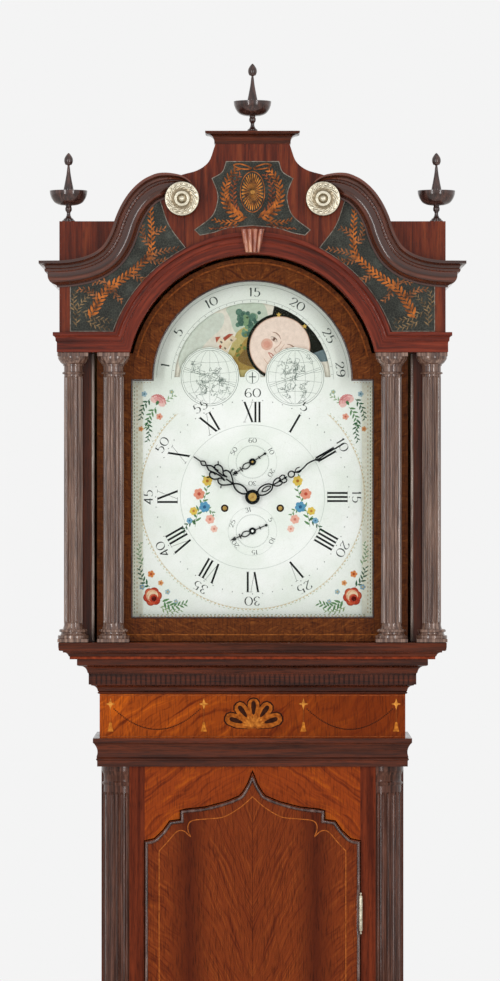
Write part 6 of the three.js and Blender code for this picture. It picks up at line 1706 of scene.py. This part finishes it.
def landscape(turn):
    """Countryside beside a moon: pale sky, an ochre bank, a cream house with red roofs and tall trees."""
    def local(marks):
        """Marks beside the moon's arbor, turned to their place on the disc."""
        return within(turned(marks, 0, ARCH_Z, turn))

    sky = np.concatenate([[(0, 0)], polar(0, 0, MOON_RADIUS, np.linspace(-65, 71, 75))])
    out = [(prism(local(sky), *moon(1)), "#e6e3d4")]
    for marks, tone, step in (
            ([(-60, 70), (-30, 84), (0, 88), (34, 84), (50, 96), (30, 112), (0, 116), (-44, 104)],
             "#d3ddd0", 2),
            ([(40, 60), (52, 84), (60, 96), (84, 78), (98, 56), (70, 30)], "#c3d2c0", 2),
            ([(-103, 47), (-100, 57), (-93, 68), (-84, 60), (-74, 46), (-68, 33)], "#6f8388", 2),
            ([(-30, 30), (-12, 44), (6, 52), (26, 58), (44, 62), (60, 52), (56, 26), (20, 4)], "#bfb274", 3),
            ([(-6, 34), (12, 44), (30, 46), (48, 44), (52, 24), (24, 6)], "#a58b4a", 4),
            ([(10, 34), (24, 38), (40, 34), (42, 20), (20, 8)], "#7b6236", 5)):
        out.append((prism(local(soft(marks, 4, closed=True)), *moon(step)), tone))
    seeds = np.random.default_rng(11 + int(turn > 0))
    puff = arc(0, 0, 1, 0, 360, 10)[:-1]
    for step, tone, count, reach in ((6, "#8aa98c", 16, 6.5), (7, "#5c8270", 22, 5.4),
                                     (8, "#47695c", 16, 4.2), (9, "#7f9f78", 10, 3.2)):
        crowns = np.column_stack([seeds.normal(62, 8.5, count), seeds.normal(60, 9, count)])
        out.append((stamps(puff, within(turned(crowns, 0, ARCH_Z, turn), 107), 0,
                           seeds.uniform(reach * 0.6, reach, count), *moon(step)), tone))
    clumps = np.column_stack([seeds.uniform(-8, 54, 14), seeds.uniform(38, 52, 14)])
    out.append((stamps(puff, turned(clumps, 0, ARCH_Z, turn), 0, seeds.uniform(1.6, 3.2, 14), *moon(9)),
                "#6f7f45"))
    for marks, tone, step in (
            ([(8, 56), (22, 58), (22, 68), (8, 66)], "#efe2c8", 10),
            ([(22, 58), (34, 56), (34, 65), (22, 68)], "#d7c6a4", 10),
            ([(12, 65), (20, 66), (20, 77), (12, 76)], "#eadbbf", 11),
            ([(6.4, 65.8), (12, 66.4), (12, 70), (9, 70)], "#b7604a", 12),
            ([(20, 68), (36, 64.6), (32, 70), (22, 73)], "#a9533f", 12),
            ([(10.6, 76), (21.4, 77), (16, 82.4)], "#b7604a", 12),
            ([(14.6, 69), (17, 69.2), (17, 73), (14.6, 72.8)], "#6d655a", 12),
            ([(11, 59), (13.4, 59.3), (13.4, 63), (11, 62.7)], "#7d7264", 12),
            ([(26, 59.6), (28.4, 59.2), (28.4, 63), (26, 63.4)], "#7d7264", 12)):
        out.append((prism(local(marks), *moon(step)), tone))
    return out


class CLOCK_OT_moon(bpy.types.Operator):
    """Painting of the moon's disc: two moons in their night and two landscapes between them"""
    bl_idname = "clock.moon"
    bl_label = "Moon disc"

    def execute(self, context):
        dress(dial_enamel(), "moon_disc")
        layers = []
        for turn in (38.7, 218.7):
            middle = polar(0, ARCH_Z, 64, [turn])[0]
            layers += landscape(turn - 90)
            rim = polar(0, ARCH_Z, MOON_RADIUS, turn + np.linspace(-22.5, 27.5, 41))
            night = np.concatenate([polar(0, ARCH_Z, 18, [turn]), rim])
            layers.append((prism(night, *moon(14)), NIGHT))
            layers.append((disc(*middle, 48.6, *moon(14.5), 72), NIGHT))
            layers += moon_face(middle, turn)
            spots = polar(0, ARCH_Z, np.array([110.3, 104.0]), turn + np.array([5.0, -17.0]))
            star = polar(0, 0, np.tile([1.0, 0.42], 5), np.arange(10) * 36.0)
            layers.append((stamps(star, spots, 0, 4.2, *moon(17)), "#d9b75c"))
        painted("moon_painting", layers, "moon_work", dial_artwork())
        return {"FINISHED"}


# Hands


def scrolls(lines, length, front, rear, pen):
    """Pierced scrollwork: closed or open curves in shares of the hand's length, each drawn with the pen."""
    parts = []
    for marks, closed, width in lines:
        path = np.asarray(marks, float)[:, ::-1] * length
        if len(path) > 2:
            path = soft(path, 5, closed)
        parts.append(stroke(path, pen * width, front, rear, closed))
    return parts


def pierced_hand(name, body, z, clock, length, y, boss, lines, pipe):
    """One hand: scrollwork on its ring boss and pipe, turned to its reading. The pipe is its outer and inner
    radius, its rear end and the radius of its bore."""
    front, rear = y
    parts = scrolls(lines, length, front, rear, size("hand_pen"))
    outer, hole, back, hub = pipe
    parts.append(lathe([(outer, back), (outer, rear), (boss, rear), (boss, front), (boss * 0.8, front),
                        (boss * 0.8, front - 0.5), (hub, front - 0.5), (hole, front - 0.5), (hole, back)],
                       0, 0, 0, 40, lying=True))
    points, faces = merge(*parts)
    flat = turned(points[:, [0, 2]], 0, z, clock)
    piece(f"{name}_hand_pierced", (upright(flat, points[:, 1]), faces), body, blued_hands(),
          [f"{name}_hand"], angle=40)


def pair(marks, width=1.0):
    """An open curve on one side of a hand and its twin on the other."""
    marks = np.asarray(marks, float)
    return [(marks, False, width), (marks * [1, -1], False, width)]


class CLOCK_OT_hands(bpy.types.Operator):
    """Pierced hour, minute, seconds and date hands"""
    bl_idname = "clock.hands"
    bl_label = "Hands"

    def execute(self, context):
        hour = (pair([(0.09, 0.01), (0.15, 0.045), (0.22, 0.05), (0.28, 0.03), (0.32, 0.0)], 1.1)
                + pair([(0.32, 0.0), (0.37, 0.05), (0.44, 0.1), (0.5, 0.1), (0.53, 0.06), (0.5, 0.03),
                        (0.45, 0.03)])
                + pair([(0.53, 0.06), (0.58, 0.1), (0.64, 0.1), (0.67, 0.06), (0.64, 0.03), (0.59, 0.035)])
                + pair([(0.44, 0.03), (0.52, 0.012), (0.62, 0.02), (0.7, 0.035), (0.77, 0.0)])
                + pair([(0.45, 0.1), (0.43, 0.15)], 0.8) + pair([(0.64, 0.1), (0.67, 0.14)], 0.8)
                + pair([(0.77, 0.0), (0.82, 0.03), (0.87, 0.0)], 0.9)
                + [([(0.86, 0.0), (0.985, 0.0)], False, 0.9), ([(0.32, 0.0), (0.44, 0.0)], False, 1.0)])
        pierced_hand("hour", "hour_work", HANDS_Z, 304.5, 106.0, (-49.2, -48.0), 10.8, hour,
                     (5, 3.9, -23, 3.9))
        minute = (pair([(0.055, 0.008), (0.09, 0.034), (0.14, 0.042), (0.19, 0.03), (0.22, 0.0)])
                  + pair([(0.1, 0.0), (0.13, 0.016), (0.17, 0.016), (0.2, 0.0)], 0.8)
                  + pair([(0.22, 0.0), (0.25, 0.028), (0.29, 0.034), (0.31, 0.016), (0.29, 0.006)], 0.9)
                  + pair([(0.3, 0.028), (0.34, 0.036), (0.36, 0.018), (0.345, 0.006)], 0.8)
                  + [([(0.22, 0.0), (0.375, 0.0)], False, 0.9),
                     (arc(0, 0, 1, 0, 360, 8)[:-1] * [0.03, 0.028] + [0.42, 0], True, 0.9),
                     ([(0.45, 0.0), (0.5, 0.012), (0.55, 0.006), (0.6, -0.008), (0.66, -0.006), (0.72, 0.006),
                       (0.8, 0.0), (0.9, 0.0), (0.99, 0.0)], False, 0.95)]
                  + pair([(0.46, 0.004), (0.49, 0.022), (0.52, 0.018)], 0.7)
                  + pair([(0.68, 0.0), (0.7, 0.016), (0.73, 0.01)], 0.7))
        pierced_hand("minute", "minute_work", HANDS_Z, 59.6, 156.5, (-54.5, -53.3), 9.4, minute,
                     (3.3, 2.2, -22.9, 2.2))
        small = (pair([(0.1, 0.02), (0.22, 0.09), (0.38, 0.1), (0.5, 0.0)], 0.7)
                 + pair([(0.56, 0.0), (0.56, 0.11)], 0.7)
                 + pair([(0.8, 0.0), (0.78, 0.06), (0.87, 0.03), (0.94, 0.0)], 0.5)
                 + pair([(-0.34, 0.0), (-0.34, 0.07)], 0.6)
                 + [([(0.46, 0.0), (0.99, 0.0)], False, 0.55), ([(-0.1, 0.0), (-0.64, 0.0)], False, 0.6),
                    ([(-0.62, 0.04), (-0.66, 0.0), (-0.62, -0.04), (-0.58, 0.0)], True, 0.6)])
        for name, body, z, clock in (("seconds", "escape_work", SECONDS_Z, 236.6),
                                     ("date", "date_work", DATE_Z, 246.9)):
            pierced_hand(name, body, z, clock, 35.0, (-44.8, -43.6), 5.2, small, (2.4, 1.6, -42.6, 1.6))
        return {"FINISHED"}


# Movement, weights and lines


class CLOCK_OT_movement(bpy.types.Operator):
    """Finish of the wheels and plates, the weights, pulleys, pendulum and bell"""
    bl_idname = "clock.movement"
    bl_label = "Movement"

    def execute(self, context):
        dress(movement_brass(), "movement_plates", "going_great_wheel", "going_barrel", "strike_barrel",
              "centre_wheel", "third_wheel", "escape_wheel", "pulley_going", "pulley_strike", "bell")
        dress(movement_steel(), "pallets", "hammer", "trunk_lock_bolt", "pendulum")
        dress(rosette_brass(), "weight_going", "weight_strike")
        return {"FINISHED"}


class CLOCK_OT_lines(bpy.types.Operator):
    """Gut lines: strands rising from each pulley, and the turn under the pulley, which rides with its weight
    """
    bl_idname = "clock.lines"
    bl_label = "Gut lines"

    def execute(self, context):
        a = np.linspace(0, 2 * np.pi, 9)[None, :-1]
        for side, x in (("going", WINDING_X), ("strike", -WINDING_X)):
            for strand, way, top, share in (("left", -PULLEY_REACH, WINDING_Z, 0.2011),
                                            ("right", PULLEY_REACH, 1680.3, 0.1474)):
                height = np.linspace(PULLEY_Z, top, 60)[:, None]
                r = 0.72 + 0.08 * np.cos(3 * (a - height * 1.6))
                rings = np.stack([x + way + r * np.cos(a), LINE_Y + r * np.sin(a),
                                  np.broadcast_to(height, r.shape)], -1)
                replaces = [f"line_{side}"] if strand == "left" else []
                made = piece(f"gut_{side}_{strand}", capped(rings), "case", gut_line(), replaces,
                             angle=180)
                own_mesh(made)
            turn = np.radians(np.linspace(180, 360, 33))[:, None]
            reach = PULLEY_REACH + 0.8 * np.cos(a)
            under = np.stack([x + reach * np.cos(turn), np.broadcast_to(LINE_Y + 0.8 * np.sin(a), (33, 8)),
                              PULLEY_Z + reach * np.sin(turn)], -1)
            piece(f"gut_{side}_turn", capped(under), f"{side}_weight", gut_line(), angle=180)
        return {"FINISHED"}


# Floor, light and camera


class CLOCK_OT_studio(bpy.types.Operator):
    """Pale floor and sky, two tall soft lamps and the camera of the photograph"""
    bl_idname = "clock.studio"
    bl_label = "Studio"

    def execute(self, context):
        scene = context.scene
        floor = bpy.data.meshes.new("studio_floor")
        floor.from_pydata([(-9, -9, 0), (9, -9, 0), (9, 9, 0), (-9, 9, 0)], [], [(0, 1, 2, 3)])
        floor.materials.append(studio_floor())
        ground = bpy.data.objects.new("studio_floor", floor)
        scene.collection.objects.link(ground)
        for name, x, power in (("left", -1.35, 30.0), ("right", 1.5, 26.0)):
            lamp = bpy.data.lights.new(f"soft_{name}", "AREA")
            lamp.shape, lamp.size, lamp.size_y, lamp.energy = "RECTANGLE", 0.32, 2.4, power
            stand = bpy.data.objects.new(f"soft_{name}", lamp)
            stand.location = (x, -3.0, 2.0)
            stand.rotation_euler = (math.radians(88), 0, math.atan2(x, 3.0))
            scene.collection.objects.link(stand)
        world = bpy.data.worlds.new("studio_sky")
        world.use_nodes = True
        tree = world.node_tree
        tree.nodes.clear()
        rays = node(tree, "LightPath").outputs
        straight = node(tree, "Math", (rays["Is Camera Ray"], rays["Is Glossy Ray"]), operation="MAXIMUM")
        any_way = node(tree, "Math", (straight, rays["Is Transmission Ray"]), operation="MAXIMUM")
        plain = node(tree, "Background", {"Color": "#fbfaf8", "Strength": 0.72})
        shown = node(tree, "Background", {"Color": "#f4f4f4", "Strength": 1.0})
        node(tree, "OutputWorld", [node(tree, "MixShader", (any_way, plain, shown))])
        scene.world = world
        camera = bpy.data.cameras.new("photo_view")
        camera.sensor_fit, camera.sensor_height, camera.lens = "VERTICAL", 36.0, 202.0
        eye = bpy.data.objects.new("photo_view", camera)
        eye.location = (-0.0036, -8.085, 1.781)
        eye.rotation_euler = (math.radians(90), 0, 0)
        scene.collection.objects.link(eye)
        scene.camera = eye
        scene.view_settings.view_transform = "Standard"
        return {"FINISHED"}


OPERATORS = (CLOCK_OT_case_mouldings, CLOCK_OT_quarter_columns, CLOCK_OT_trunk_door, CLOCK_OT_frieze,
             CLOCK_OT_boards, CLOCK_OT_hood_base, CLOCK_OT_hood_columns, CLOCK_OT_arch, CLOCK_OT_pediment,
             CLOCK_OT_gilt_panels, CLOCK_OT_swan_necks, CLOCK_OT_rosettes, CLOCK_OT_crowning,
             CLOCK_OT_hood_door, CLOCK_OT_dial_numbers, CLOCK_OT_dial_flowers, CLOCK_OT_moon, CLOCK_OT_hands,
             CLOCK_OT_movement, CLOCK_OT_lines, CLOCK_OT_studio)


class CLOCK_PT_steps(bpy.types.Panel):
    """The clock's sizes, colours and steps in the sidebar"""
    bl_idname = "CLOCK_PT_steps"
    bl_label = "Longcase clock"
    bl_space_type = "VIEW_3D"
    bl_region_type = "UI"
    bl_category = "Clock"

    def draw(self, context):
        for operator in OPERATORS:
            self.layout.operator(operator.bl_idname)
        for group in (context.scene.clock_sizes, context.scene.clock_colours):
            for name in group.__annotations__:
                self.layout.prop(group, name)


CLASSES = (ClockSizes, ClockColours, *OPERATORS, CLOCK_PT_steps)


def register():
    """Adds the settings, operators and panel."""
    for made in CLASSES:
        bpy.utils.register_class(made)
    bpy.types.Scene.clock_sizes = bpy.props.PointerProperty(type=ClockSizes)
    bpy.types.Scene.clock_colours = bpy.props.PointerProperty(type=ClockColours)


def unregister():
    """Takes them away in reverse order."""
    del bpy.types.Scene.clock_colours
    del bpy.types.Scene.clock_sizes
    for made in reversed(CLASSES):
        bpy.utils.unregister_class(made)


def main():
    """Dresses the clock step by step."""
    register()
    for operator in OPERATORS:
        step = getattr(bpy.ops.clock, operator.bl_idname.split(".")[1])
        if step() != {"FINISHED"}:
            raise RuntimeError(f"{operator.bl_idname} did not finish")


if __name__ == "__main__":
    main()
